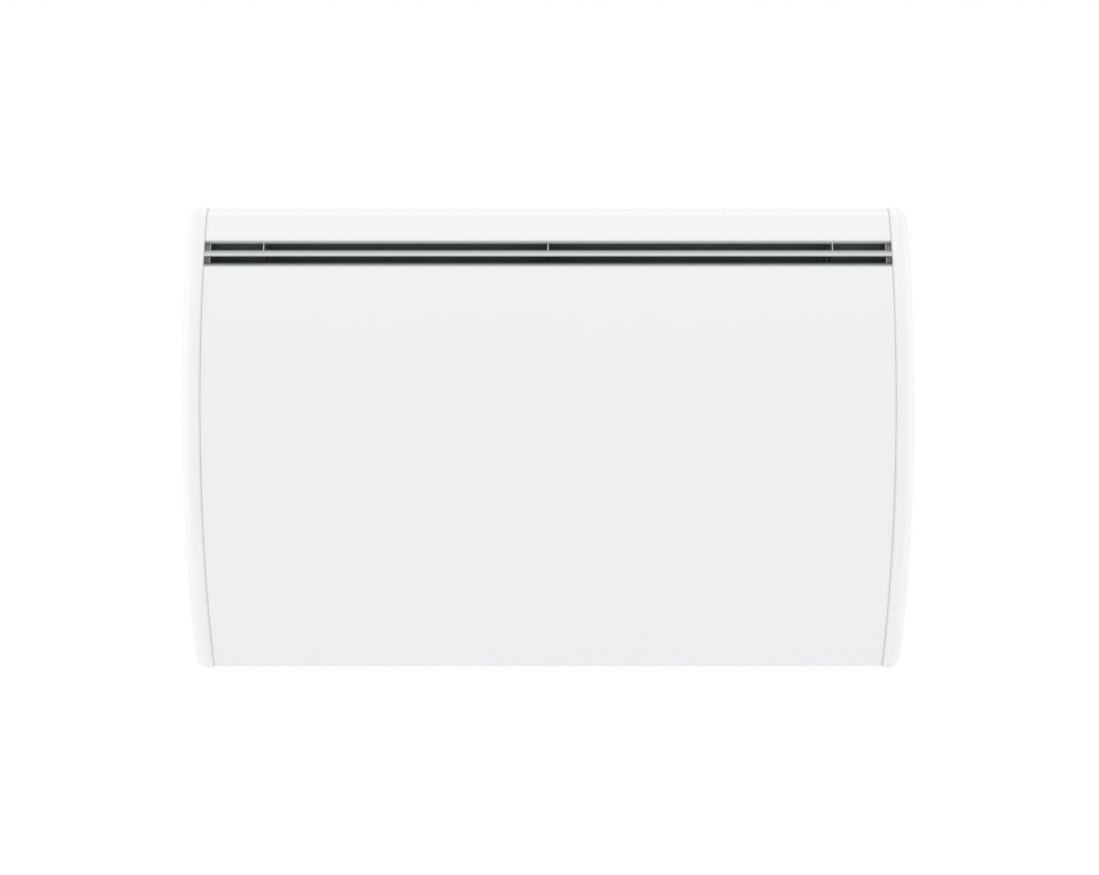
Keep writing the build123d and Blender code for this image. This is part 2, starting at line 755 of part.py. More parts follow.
def ceramic_bush(side):
    """A flanged ceramic sleeve that carries one end of the rod in its duct wall."""
    with BuildPart() as bush:
        start = side * (duct_half - bush_flange)
        end = side * (wall_outer + bush_reach)
        add(element_disc(start, side * duct_half, bush_flange_radius))
        add(element_disc(side * duct_half, end, bush_radius))
        add(element_disc(start, end, rod_radius), mode=Mode.SUBTRACT)
    return bush.part


with BuildPart() as left_bush:
    add(ceramic_bush(-1))
save(left_bush, "left_bush")

with BuildPart() as right_bush:
    add(ceramic_bush(1))
save(right_bush, "right_bush")

with BuildPart() as element_terminals:
    for side in (-1, 1):
        add(element_disc(side * rod_half, side * (rod_half + stud_length), stud_radius))
        nut_plane = Plane.YZ.offset(side * (rod_half + nut_set))
        nut = nut_outline(nut_plane, [(-element_depth, element_height)], nut_across, stud_radius)
        extrude(nut, amount=side * nut_thick)
save(element_terminals, "element_terminals")

# ---------------------------------------------------------------- thermal cut-out
with BuildPart() as thermal_cutout:
    with BuildSketch(Plane.YZ.offset(duct_half - cutout_nose)):
        with Locations((-element_depth, cutout_height)):
            Circle(cutout_radius)
    extrude(amount=cutout_nose + duct_sheet + cutout_reach)
    with BuildSketch(Plane.YZ.offset(wall_outer)):
        with Locations((-element_depth, cutout_height)):
            Circle(cutout_flange_radius)
    extrude(amount=cutout_flange)
    with BuildSketch(Plane.YZ.offset(wall_outer + cutout_reach)):
        with Locations((-element_depth, cutout_height)):
            with GridLocations(0, tab_pitch, 1, 2):
                Rectangle(tab_width, tab_thick)
    extrude(amount=tab_length)
save(thermal_cutout, "thermal_cutout")

# ---------------------------------------------------------------- controls
bezel_floor = half_width - bezel_floor_inset
bezel_back = bezel_floor - bezel_wall


def window_face(at, inset):
    """The control window's outline, less inset all round."""
    with BuildSketch(Plane.YZ.offset(at)) as face:
        with Locations((-window_depth, window_height)):
            RectangleRounded(window_across - 2 * inset, window_tall - 2 * inset, window_corner - inset)
    return face.sketch


def control_disc(start, end, radius, height):
    """A round length facing out of the window, between two X positions."""
    with BuildSketch(Plane.YZ.offset(start)) as disc:
        with Locations((-window_depth, height)):
            Circle(radius)
    return extrude(disc.sketch, amount=end - start, mode=Mode.PRIVATE)


def control_box(start, end, across, tall, height):
    """A square-cornered length facing out of the window, between two X positions."""
    with BuildSketch(Plane.YZ.offset(start)) as face:
        with Locations((-window_depth, height)):
            Rectangle(across, tall)
    return extrude(face.sketch, amount=end - start, mode=Mode.PRIVATE)


# A moulded tray that fills the window and stands on the side plate by four bosses.
with BuildPart() as control_bezel:
    rim = half_width - bezel_set_back
    extrude(window_face(bezel_back, bezel_gap), amount=rim - bezel_back)
    extrude(window_face(bezel_floor, bezel_gap + bezel_wall), amount=rim - bezel_floor, mode=Mode.SUBTRACT)
    with BuildSketch(Plane.YZ.offset(plate_half)):
        with Locations(*bezel_screws_at):
            Circle(bezel_boss_radius)
    extrude(amount=bezel_back - plate_half)
    with BuildSketch(Plane.YZ.offset(plate_half)):
        with Locations(*bezel_screws_at):
            Circle(bezel_screw_radius)
    extrude(amount=bezel_screw_reach - plate_sheet, mode=Mode.SUBTRACT)
    add(control_disc(bezel_back, bezel_floor, shaft_radius + hole_gap, knob_height), mode=Mode.SUBTRACT)
    add(control_box(bezel_back, bezel_floor, rocker_across, rocker_tall, rocker_height), mode=Mode.SUBTRACT)
save(control_bezel, "control_bezel")

with BuildPart() as bezel_screws:
    with BuildSketch(Plane.YZ.offset(plate_inner - bezel_screw_head)):
        with Locations(*bezel_screws_at):
            Circle(bezel_screw_head_radius)
    extrude(amount=bezel_screw_head)
    with BuildSketch(Plane.YZ.offset(plate_inner)):
        with Locations(*bezel_screws_at):
            Circle(bezel_screw_radius)
    extrude(amount=bezel_screw_reach)
save(bezel_screws, "bezel_screws")

knob_base = bezel_floor + knob_lift
knob_top = half_width - knob_top_inset
shaft_end = knob_top - knob_cover
shaft_start = plate_inner - shaft_tail
neck_end = plate_half + neck_reach

with BuildPart() as thermostat_body:
    body_rear = plate_inner - thermostat_thick
    add(control_box(body_rear, plate_inner, thermostat_across, thermostat_tall, knob_height))
    fillet(thermostat_body.edges().filter_by(Axis.X), thermostat_corner)
    add(control_disc(plate_inner, neck_end, neck_radius, knob_height))
    add(control_disc(shaft_start, neck_end, shaft_radius + running_gap, knob_height), mode=Mode.SUBTRACT)
    with BuildSketch(Plane.YZ.offset(body_rear)):
        with Locations((-window_depth, knob_height)):
            with GridLocations(0, tab_pitch, 1, 2):
                Rectangle(tab_width, tab_thick)
    extrude(amount=-tab_length)
save(thermostat_body, "thermostat_body")

with BuildPart() as thermostat_nut:
    neck_at = [(-window_depth, knob_height)]
    nut = nut_outline(Plane.YZ.offset(plate_half), neck_at, neck_nut_across, neck_radius)
    extrude(nut, amount=neck_nut_thick)
save(thermostat_nut, "thermostat_nut")


def flatted_disc(start, end):
    """The shaft's end section, with its flat, between two X positions."""
    with BuildSketch(Plane.YZ.offset(start)) as section:
        with Locations((-window_depth, knob_height)):
            Circle(shaft_radius)
            with Locations((0, shaft_radius - shaft_flat)):
                Rectangle(2 * shaft_radius, shaft_radius, align=(Align.CENTER, Align.MIN), mode=Mode.SUBTRACT)
    return extrude(section.sketch, amount=end - start, mode=Mode.PRIVATE)


with BuildPart() as thermostat_shaft:
    add(control_disc(shaft_start, knob_base, shaft_radius, knob_height))
    add(flatted_disc(knob_base, shaft_end))
save(thermostat_shaft, "thermostat_shaft")

# A skirted knob with a fluted grip and a pointer groove, bored for the flatted shaft.
with BuildPart() as thermostat_knob:
    add(control_disc(knob_base, knob_base + knob_skirt, knob_radius, knob_height))
    grip_base = knob_base + knob_skirt
    add(control_disc(grip_base, knob_top, knob_grip_radius, knob_height))
    chamfer(thermostat_knob.edges().filter_by(GeomType.CIRCLE).sort_by(Axis.X)[-1], knob_edge)
    with BuildSketch(Plane.YZ.offset(grip_base)):
        with Locations((-window_depth, knob_height)):
            with PolarLocations(knob_grip_radius + flute_radius - flute_cut, knob_flutes):
                Circle(flute_radius)
    extrude(amount=knob_top - grip_base, mode=Mode.SUBTRACT)
    add(flatted_disc(knob_base, shaft_end), mode=Mode.SUBTRACT)
    with BuildSketch(Plane.YZ.offset(knob_top)):
        with Locations((-window_depth, knob_height)):
            with PolarLocations(pointer_middle, 1, start_angle=pointer_rest):
                Rectangle(pointer_length, pointer_width)
    extrude(amount=-pointer_cut, mode=Mode.SUBTRACT)
save(thermostat_knob, "thermostat_knob")

flange_face = bezel_floor + rocker_flange
pivot_x = flange_face - paddle_pivot_drop
paddle_half_across = rocker_across / 2 - rocker_wall - paddle_gap
paddle_half_tall = rocker_tall / 2 - rocker_wall - paddle_end_gap


def rocker_pivots(radius):
    """The paddle's pivot pins, or the holes for them, along Y."""
    reach = paddle_half_across + paddle_gap + pivot_seat
    with BuildSketch(Plane.XZ.offset(window_depth - reach)) as circle:
        with Locations((pivot_x, rocker_height)):
            Circle(radius)
    return extrude(circle.sketch, amount=2 * reach, mode=Mode.PRIVATE)


with BuildPart() as rocker_body:
    add(control_box(bezel_floor - rocker_reach, bezel_floor, rocker_across, rocker_tall, rocker_height))
    flange_across = rocker_across + 2 * rocker_border
    flange_tall = rocker_tall + 2 * rocker_border
    add(control_box(bezel_floor, flange_face, flange_across, flange_tall, rocker_height))
    well_across = rocker_across - 2 * rocker_wall
    well_tall = rocker_tall - 2 * rocker_wall
    well_floor = flange_face - rocker_well
    add(control_box(well_floor, flange_face, well_across, well_tall, rocker_height), mode=Mode.SUBTRACT)
    add(rocker_pivots(pivot_radius + running_gap), mode=Mode.SUBTRACT)
    with BuildSketch(Plane.YZ.offset(bezel_floor - rocker_reach)):
        with Locations((-window_depth, rocker_height)):
            with GridLocations(0, tab_pitch, 1, 2):
                Rectangle(tab_width, tab_thick)
    extrude(amount=-tab_length)
save(rocker_body, "rocker_body")

# The paddle is drawn level and then tilted to its off position.
with BuildPart() as rocker_paddle:
    with BuildSketch(Plane.XZ.offset(window_depth - paddle_half_across)):
        with BuildLine():
            Polyline(
                (pivot_x + paddle_rise, rocker_height + paddle_half_tall),
                (pivot_x + paddle_waist, rocker_height),
                (pivot_x + paddle_rise, rocker_height - paddle_half_tall),
                (pivot_x + paddle_under, rocker_height - paddle_half_tall),
                (pivot_x, rocker_height - paddle_lobe),
                (pivot_x - paddle_lobe, rocker_height),
                (pivot_x, rocker_height + paddle_lobe),
                (pivot_x + paddle_under, rocker_height + paddle_half_tall),
                close=True,
            )
        make_face()
    extrude(amount=2 * paddle_half_across)
    add(rocker_pivots(pivot_radius))
    pivot = Axis((pivot_x, 0, rocker_height), (0, 1, 0))
    add(rocker_paddle.part.rotate(pivot, paddle_tilt), mode=Mode.REPLACE)
save(rocker_paddle, "rocker_paddle")

# ---------------------------------------------------------------- ambient sensor
bulb_x = plate_inner - bulb_inset
bulb_bottom = bulb_top - bulb_length

with BuildPart() as sensing_bulb:
    with BuildSketch(Plane.XY.offset(bulb_bottom)):
        with Locations((bulb_x, -bulb_depth)):
            Circle(bulb_radius)
    extrude(amount=bulb_length)
    chamfer(sensing_bulb.edges().filter_by(GeomType.CIRCLE), bulb_edge)
    tube_x = plate_inner - thermostat_thick / 2
    tube_depth = window_depth - capillary_set
    tube_start = knob_height - thermostat_tall / 2
    tube_turn = rocker_height - rocker_tall / 2
    with BuildLine() as route:
        FilletPolyline(
            (tube_x, -tube_depth, tube_start),
            (tube_x, -tube_depth, tube_turn),
            (bulb_x, -bulb_depth, tube_turn - capillary_run),
            (bulb_x, -bulb_depth, bulb_top),
            radius=capillary_bend,
        )
    with BuildSketch(Plane.XY.offset(tube_start)):
        with Locations((tube_x, -tube_depth)):
            Circle(capillary_radius)
    sweep(path=route.line)
save(sensing_bulb, "sensing_bulb")

with BuildPart() as bulb_clips:
    for height in (bulb_top - clip_wide, bulb_bottom + clip_wide):
        with BuildSketch(Plane.XY.offset(height - clip_wide / 2)):
            with Locations((bulb_x, -bulb_depth)):
                Circle(bulb_radius + clip_thick)
                Rectangle(bulb_inset, clip_thick, align=(Align.MIN, Align.CENTER))
                Circle(bulb_radius, mode=Mode.SUBTRACT)
        extrude(amount=clip_wide)
save(bulb_clips, "bulb_clips")

# ---------------------------------------------------------------- mains inlet
bore_depth = panel_front + block_thick / 2
poles_at = [inlet_x + i * pole_pitch for i in (-1, 0, 1)]
wells_at = [(x, block_height + side * well_pitch / 2) for x in poles_at for side in (-1, 1)]

with BuildPart() as terminal_block:
    with BuildSketch(Plane.YZ.offset(inlet_x - block_across / 2)):
        with BuildLine():
            Polyline(
                (-panel_front, block_height - block_tall / 2),
                (-block_front + block_step, block_height - block_tall / 2),
                (-block_front, block_height - block_tall / 2 + block_step),
                (-block_front, block_height + block_tall / 2 - block_step),
                (-block_front + block_step, block_height + block_tall / 2),
                (-panel_front, block_height + block_tall / 2),
                close=True,
            )
        make_face()
    extrude(amount=block_across)
    with BuildSketch(Plane.XY.offset(block_height - block_tall / 2)):
        with Locations(*[(x, -bore_depth) for x in poles_at]):
            Circle(pole_bore)
    extrude(amount=block_tall, mode=Mode.SUBTRACT)
    extrude(rear_circles(bore_depth, wells_at, well_radius), amount=block_thick / 2, mode=Mode.SUBTRACT)
save(terminal_block, "terminal_block")

with BuildPart() as terminal_screws:
    extrude(rear_circles(bore_depth, wells_at, well_radius), amount=pole_screw_length)
    with BuildSketch(Plane.XZ.offset(bore_depth + pole_screw_length)):
        with Locations(*wells_at):
            Rectangle(2 * well_radius, pole_screw_slot)
    extrude(amount=-pole_screw_slot, mode=Mode.SUBTRACT)
save(terminal_screws, "terminal_screws")

# A bent strap over the cord's place, held by two screws.
with BuildPart() as cord_clamp:
    middle = panel_front + clamp_sheet / 2
    with BuildSketch(Plane.XY.offset(clamp_height - clamp_wide / 2)):
        with BuildLine():
            FilletPolyline(
                (inlet_x - clamp_across / 2, -middle),
                (inlet_x - grommet_bore - clamp_sheet, -middle),
                (inlet_x - grommet_bore, -middle - clamp_hump),
                (inlet_x + grommet_bore, -middle - clamp_hump),
                (inlet_x + grommet_bore + clamp_sheet, -middle),
                (inlet_x + clamp_across / 2, -middle),
                radius=clamp_sheet,
            )
        trace(line_width=clamp_sheet)
    extrude(amount=clamp_wide)
    screw_holes = rear_circles(panel_front, clamp_screws_at, clamp_screw_radius)
    extrude(screw_holes, amount=clamp_sheet, mode=Mode.SUBTRACT)
save(cord_clamp, "cord_clamp")

with BuildPart() as clamp_screws:
    seat = panel_front + clamp_sheet
    extrude(rear_circles(seat, clamp_screws_at, clamp_screw_head_radius), amount=clamp_screw_head)
    chamfer(clamp_screws.edges().group_by(Axis.Y)[0], clamp_screw_edge)
    shank = clamp_sheet + panel_sheet + clamp_screw_tail
    extrude(rear_circles(seat, clamp_screws_at, clamp_screw_radius), amount=-shank)
save(clamp_screws, "clamp_screws")

# A rubber bush in the back panel, open towards the wall.
with BuildPart() as cord_grommet:
    centre = [(inlet_x, grommet_height)]
    extrude(rear_circles(panel_rear - grommet_outer, centre, grommet_flange), amount=grommet_outer)
    chamfer(cord_grommet.edges().group_by(Axis.Y)[-1], grommet_edge)
    extrude(rear_circles(panel_rear, centre, grommet_neck), amount=panel_sheet)
    extrude(rear_circles(panel_front, centre, grommet_flange), amount=grommet_inner)
    chamfer(cord_grommet.edges().group_by(Axis.Y)[0], grommet_edge)
    bore_length = grommet_outer + panel_sheet + grommet_inner
    bore = rear_circles(panel_rear - grommet_outer, centre, grommet_bore)
    extrude(bore, amount=bore_length, mode=Mode.SUBTRACT)
save(cord_grommet, "cord_grommet")

with BuildPart() as earth_stud:
    extrude(rear_circles(panel_rear, [(inlet_x, earth_height)], stud_radius), amount=earth_reach)
save(earth_stud, "earth_stud")

with BuildPart() as earth_nut:
    nut = nut_outline(Plane.XZ.offset(panel_front), [(inlet_x, earth_height)], nut_across, stud_radius)
    extrude(nut, amount=nut_thick)
save(earth_nut, "earth_nut")

# ---------------------------------------------------------------- wall bracket
# Two channel rails with hooks on their edges, joined by a lipped bar.
with BuildPart() as wall_bracket:
    rail_middle = (rail_top + rail_bottom) / 2
    with BuildSketch(Plane.XZ):
        with Locations((-rail_x, rail_middle), (rail_x, rail_middle)):
            Rectangle(rail_width, rail_top - rail_bottom)
        Rectangle(rail_spacing, 2 * bar_half_height)
        with GridLocations(rail_spacing, wall_hole_spacing, 2, 2):
            Circle(wall_hole_radius, mode=Mode.SUBTRACT)
    extrude(amount=bracket_sheet)
    for side in (-1, 1):
        for edge in (-1, 1):
            start = side * rail_x + edge * hook_x - bracket_sheet / 2
            extrude(side_rectangle(start, (0, panel_rear), (rail_bottom, rail_top)), amount=bracket_sheet)
            for height in hook_heights:
                inner = panel_front + hook_gap
                outer = inner + hook_thick
                arm = side_rectangle(start, (panel_rear, outer), (height - hook_arm, height))
                extrude(arm, amount=bracket_sheet)
                upright = side_rectangle(start, (inner, outer), (height - hook_arm, height + hook_rise))
                extrude(upright, amount=bracket_sheet)
        tab_heights = (rail_top - bracket_sheet, rail_top)
        tab = side_rectangle(side * rail_x - hook_x, (0, panel_rear - latch_tab_gap), tab_heights)
        extrude(tab, amount=2 * hook_x)
    for edge in (-1, 1):
        lip_heights = (edge * bar_half_height, edge * (bar_half_height - bracket_sheet))
        extrude(side_rectangle(-rail_x + hook_x, (0, bar_lip), lip_heights), amount=2 * (rail_x - hook_x))
    with BuildSketch(Plane.XY.offset(rail_top)):
        with Locations((-rail_x, -latch_pin_depth), (rail_x, -latch_pin_depth)):
            Circle(latch_pin_radius + running_gap)
    extrude(amount=-bracket_sheet, mode=Mode.SUBTRACT)
save(wall_bracket, "wall_bracket")


def latch(side):
    """A quarter-turn latch: its blade passes through the back panel and stops it from lifting."""
    centre = (side * rail_x, -latch_pin_depth)
    with BuildPart() as turned:
        with BuildSketch(Plane.XY.offset(latch_level)):
            with Locations(centre):
                Circle(latch_head_radius)
                Rectangle(latch_blade_width, latch_blade_length, align=(Align.CENTER, Align.MAX))
        extrude(amount=latch_blade_thick)
        with BuildSketch(Plane.XY.offset(latch_level)):
            with Locations(centre):
                Circle(latch_head_radius)
        extrude(amount=latch_head)
        with BuildSketch(Plane.XY.offset(latch_level + latch_head)):
            with Locations(centre):
                Rectangle(latch_driver_slot, 2 * latch_head_radius)
        extrude(amount=-(latch_head - latch_blade_thick), mode=Mode.SUBTRACT)
        with BuildSketch(Plane.XY.offset(latch_level)):
            with Locations(centre):
                Circle(latch_pin_radius)
        extrude(amount=-(bracket_sheet + 2 * latch_lift + latch_collar))
        with BuildSketch(Plane.XY.offset(rail_top - bracket_sheet - latch_lift)):
            with Locations(centre):
                Circle(latch_collar_radius)
        extrude(amount=-latch_collar)
    return turned.part


with BuildPart() as left_latch:
    add(latch(-1))
save(left_latch, "left_latch")

with BuildPart() as right_latch:
    add(latch(1))
save(right_latch, "right_latch")

# Rubber feet that keep the lower edge off the wall, snapped into the back panel.
with BuildPart() as wall_spacers:
    extrude(rear_circles(0, spacers_at, spacer_radius), amount=panel_rear)
    chamfer(wall_spacers.edges().group_by(Axis.Y)[-1], spacer_edge)
    extrude(rear_circles(panel_rear, spacers_at, spacer_stem_radius), amount=panel_sheet)
    extrude(rear_circles(panel_front, spacers_at, spacer_head_radius), amount=spacer_head)
    chamfer(wall_spacers.edges().group_by(Axis.Y)[0], spacer_head_edge)
save(wall_spacers, "wall_spacers")

# ---------------------------------------------------------------- screws driven from behind
with BuildPart() as casing_screws:
    add(rear_screws(casing_gap, casing_screws_at, screw_reach))
save(casing_screws, "casing_screws")

with BuildPart() as cap_screws:
    add(rear_screws(panel_rear, cap_screws_at, screw_reach))
save(cap_screws, "cap_screws")

with BuildPart() as chassis_screws:
    add(rear_screws(panel_rear, chassis_screws_at, screw_reach))
save(chassis_screws, "chassis_screws")
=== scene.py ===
import math

import bmesh
import bpy
import numpy as np
from bpy.props import FloatProperty, FloatVectorProperty, IntProperty, PointerProperty
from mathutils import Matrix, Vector


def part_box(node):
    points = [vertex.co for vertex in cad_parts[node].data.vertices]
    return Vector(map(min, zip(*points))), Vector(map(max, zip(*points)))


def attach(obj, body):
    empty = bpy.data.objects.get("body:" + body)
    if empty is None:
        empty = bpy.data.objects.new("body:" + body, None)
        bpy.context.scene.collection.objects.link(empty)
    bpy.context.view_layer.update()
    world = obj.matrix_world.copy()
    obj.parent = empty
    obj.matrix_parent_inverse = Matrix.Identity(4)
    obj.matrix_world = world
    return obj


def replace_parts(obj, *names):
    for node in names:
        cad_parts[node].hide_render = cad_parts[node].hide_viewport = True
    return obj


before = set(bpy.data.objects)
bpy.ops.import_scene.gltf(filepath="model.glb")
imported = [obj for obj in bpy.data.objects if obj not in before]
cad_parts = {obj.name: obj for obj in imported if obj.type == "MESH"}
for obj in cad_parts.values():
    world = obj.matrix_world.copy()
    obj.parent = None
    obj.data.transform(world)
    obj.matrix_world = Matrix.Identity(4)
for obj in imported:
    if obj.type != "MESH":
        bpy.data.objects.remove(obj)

bl_info = {
    "name": "Wall panel convector heater",
    "version": (1, 0, 0),
    "blender": (4, 5, 0),
    "location": "3D View > Sidebar > Heater",
    "description": "Finishes and fittings of a slim wall convector heater",
    "category": "Object",
}

MM = 0.001
RIGHT = np.array([1.0, 0.0, 0.0])
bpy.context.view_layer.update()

# In millimetres and degrees.
FRONT_CENTRE = (392.26, 33.0)  # (y, z) of the middle of the front's curve
FRONT_RADIUS = 498.26  # from there to the middle of the casing's sheet
CASING_SHEET = 1.0
CREASE = 35.0  # an edge that turns by more than this stays sharp
KNOB_START = 225.0  # pointer's angle at the lowest setting
KNOB_SWEEP = 270.0  # from there to the hottest setting


# ---- Settings
def colour(name, default, description):
    """A property that holds a colour."""
    return FloatVectorProperty(
        name=name, description=description, default=default, size=3, min=0.0, max=1.0, subtype="COLOR"
    )


def length(name, default, description):
    """A property that holds a length in metres, with its default in millimetres."""
    return FloatProperty(
        name=name, description=description, default=default * MM, min=0.0, unit="LENGTH", precision=5
    )


def watts(name, default, where):
    """A property that holds the power of a light at this place."""
    about = "Power of the light " + where
    return FloatProperty(name=name, description=about, default=default, min=0.0, unit="POWER")


class HeaterColours(bpy.types.PropertyGroup):
    """Colours of the heater's finishes."""

    enamel: colour("Enamel", (0.768, 0.775, 0.782), "Enamel on the front casing and intake grille")
    end_cap: colour("End caps", (0.780, 0.785, 0.778), "Moulded plastic of the two end caps")
    bezel: colour("Control bezel", (0.62, 0.63, 0.63), "Moulded tray round the controls")
    knob: colour("Thermostat knob", (0.73, 0.73, 0.72), "Moulded thermostat knob")
    rocker: colour("Rocker body", (0.012, 0.012, 0.013), "Body of the rocker switch")
    paddle: colour("Rocker paddle", (0.72, 0.72, 0.71), "Paddle of the rocker switch")
    marking: colour("Markings", (0.05, 0.052, 0.055), "Printed scale and symbols")
    duct_black: colour("Duct black", (0.095, 0.138, 0.134), "Heat-proof paint behind the slots")
    zinc_dark: colour("Dark zinc grains", (0.36, 0.38, 0.395), "Darkest grains of galvanised sheet")
    zinc_light: colour("Light zinc grains", (0.66, 0.68, 0.69), "Lightest grains of galvanised sheet")
    bracket: colour("Wall bracket", (0.33, 0.34, 0.35), "Powder coat on the wall bracket")
    rubber: colour("Rubber", (0.022, 0.022, 0.022), "Rubber of the spacers and grommet")


class HeaterTextures(bpy.types.PropertyGroup):
    """Scales of the heater's surface textures."""

    enamel_ripple: length("Enamel ripple", 2.4, "Width of the enamel's orange-peel ripples")
    enamel_depth: length("Enamel ripple depth", 0.012, "Height of the enamel's ripples")
    seam: length("Seam", 313.6, "Heater's middle to the edge of an end cap's lip")
    # The dull line along the seam is painted shade between the casing and the end caps.
    seam_shade: length("Seam shade", 0.9, "Width of the dull line along the seam")
    mould_grain: length("Mould grain", 0.55, "Width of the grain on moulded plastic")
    mould_depth: length("Mould grain depth", 0.008, "Height of the grain on moulded plastic")
    spangle: length("Zinc spangle", 6.0, "Width of a grain of galvanised sheet")
    powder_ripple: length("Powder coat ripple", 1.3, "Width of the ripples on powder coat")


class HeaterFittings(bpy.types.PropertyGroup):
    """Sizes of the small fittings that are added round the frame."""

    head_radius: length("Screw head radius", 3.5, "Radius of a screw's pan head")
    head_height: length("Screw head height", 2.2, "Height of a screw's pan head")
    shank_radius: length("Screw shank radius", 1.75, "Radius of a screw's shank")
    shank_length: length("Screw shank length", 8.0, "Length of a screw below its head")
    recess_reach: length("Recess reach", 2.0, "Middle of a cross recess to the end of an arm")
    recess_width: length("Recess width", 0.9, "Width of an arm of a cross recess")
    recess_depth: length("Recess depth", 1.1, "Depth of a cross recess")
    tick_radius: length("Scale radius", 18.4, "Knob's axis to the middle of the scale")
    tick_width: length("Scale tick width", 0.5, "Width of a tick on the scale")
    tick_length: length("Scale tick length", 1.5, "Length of a tick on the scale")
    tick_count: IntProperty(
        name="Scale ticks", description="Ticks on the thermostat's scale", default=11, min=2
    )
    print_height: length("Print height", 0.08, "Thickness of a printed or inlaid mark")


class HeaterStage(bpy.types.PropertyGroup):
    """Camera, floor and lights."""

    camera_x: length("Camera across", 1.3, "Camera's place to the right of the middle")
    camera_out: length("Camera out", 1608.0, "Camera's distance from the wall")
    camera_up: length("Camera up", 1.6, "Camera's height above the middle")
    lens: FloatProperty(name="Lens", description="Focal length in millimetres", default=54.6, min=10.0)
    floor_drop: length("Floor drop", 1700.0, "Heater's middle to the floor")
    floor_radius: length("Floor radius", 3400.0, "Radius of the round floor")
    floor_tone: colour("Floor", (0.90, 0.90, 0.90), "Pale floor")
    backdrop: colour("Backdrop", (1.0, 1.0, 1.0), "Paper behind the heater")
    room: colour("Room", (0.80, 0.806, 0.812), "Pale room all round")
    front_light: watts("Front light", 27.8, "in front")
    top_light: watts("Top light", 14.0, "overhead")
    low_light: watts("Low light", 3.8, "below")
    left_light: watts("Left light", 10.3, "at the heater's left")
    right_light: watts("Right light", 8.8, "at the heater's right")


SETTINGS = {
    "heater_colours": HeaterColours,
    "heater_textures": HeaterTextures,
    "heater_fittings": HeaterFittings,
    "heater_stage": HeaterStage,
}


# ---- Shader maths
class Value:
    """A number that varies from place to place. Arithmetic on it adds Math nodes."""

    def __init__(self, shading, socket):
        self.shading = shading
        self.socket = socket

    def math(self, operation, *terms):
        """The result of one Math node on these terms."""
        node = self.shading.node("ShaderNodeMath", {"operation": operation}, dict(enumerate(terms)))
        return Value(self.shading, node.outputs[0])

    def __add__(self, other):
        return self.math("ADD", self, other)

    def __radd__(self, other):
        return self.math("ADD", other, self)

    def __sub__(self, other):
        return self.math("SUBTRACT", self, other)

    def __rsub__(self, other):
        return self.math("SUBTRACT", other, self)

    def __mul__(self, other):
        return self.math("MULTIPLY", self, other)

    def __rmul__(self, other):
        return self.math("MULTIPLY", other, self)

    def __pow__(self, other):
        return self.math("POWER", self, other)

    def __rpow__(self, other):
        return self.math("POWER", other, self)

    def __abs__(self):
        return self.math("ABSOLUTE", self)

    def sine(self):
        """The sine of this angle in radians."""
        return self.math("SINE", self)

    def cosine(self):
        """The cosine of this angle in radians."""
        return self.math("COSINE", self)

    def from_nearest(self, step):
        """How far this is from the nearest whole number of steps."""
        return self.math("PINGPONG", self, step / 2)

    def ramp(self, low, high):
        """0 below low, 1 above high, and smooth between them."""
        node = self.shading.node(
            "ShaderNodeMapRange",
            {"interpolation_type": "SMOOTHSTEP"},
            {"Value": self, "From Min": low, "From Max": high},
        )
        return Value(self.shading, node.outputs["Result"])

    def band(self, start, full, fade, end):
        """0 below start and above end, 1 from full to fade, and smooth between them."""
        return self.ramp(start, full) * (1.0 - self.ramp(fade, end))


def distance(across, up):
    """How far a point is from a centre, from how far it is each way."""
    return (across * across + up * up) ** 0.5


class Shading:
    """A node tree whose nodes are written as plain expressions."""

    def __init__(self, tree):
        self.tree = tree

    def node(self, kind, settings=None, inputs=None):
        """One node of a kind, with its settings and the values or links of its sockets."""
        made = self.tree.nodes.new(kind)
        for key, value in (settings or {}).items():
            setattr(made, key, value)
        for key, value in (inputs or {}).items():
            self.join(made.inputs[key], value)
        return made

    def join(self, socket, value):
        """Links a varying value to a socket, or sets a constant on it."""
        if isinstance(value, Value):
            self.tree.links.new(value.socket, socket)
        elif isinstance(value, bpy.types.NodeSocket):
            self.tree.links.new(value, socket)
        else:
            socket.default_value = value

    def tint(self, mask, first, second):
        """A colour that goes from first to second as the mask goes from 0 to 1."""
        node = self.node("ShaderNodeMix", {"data_type": "RGBA"})
        self.join(node.inputs["Factor"], mask)
        colours = [socket for socket in node.inputs if socket.type == "RGBA"]
        for socket, tone in zip(colours, (first, second)):
            self.join(socket, tone if isinstance(tone, bpy.types.NodeSocket) else (*tone, 1.0))
        return next(socket for socket in node.outputs if socket.type == "RGBA")


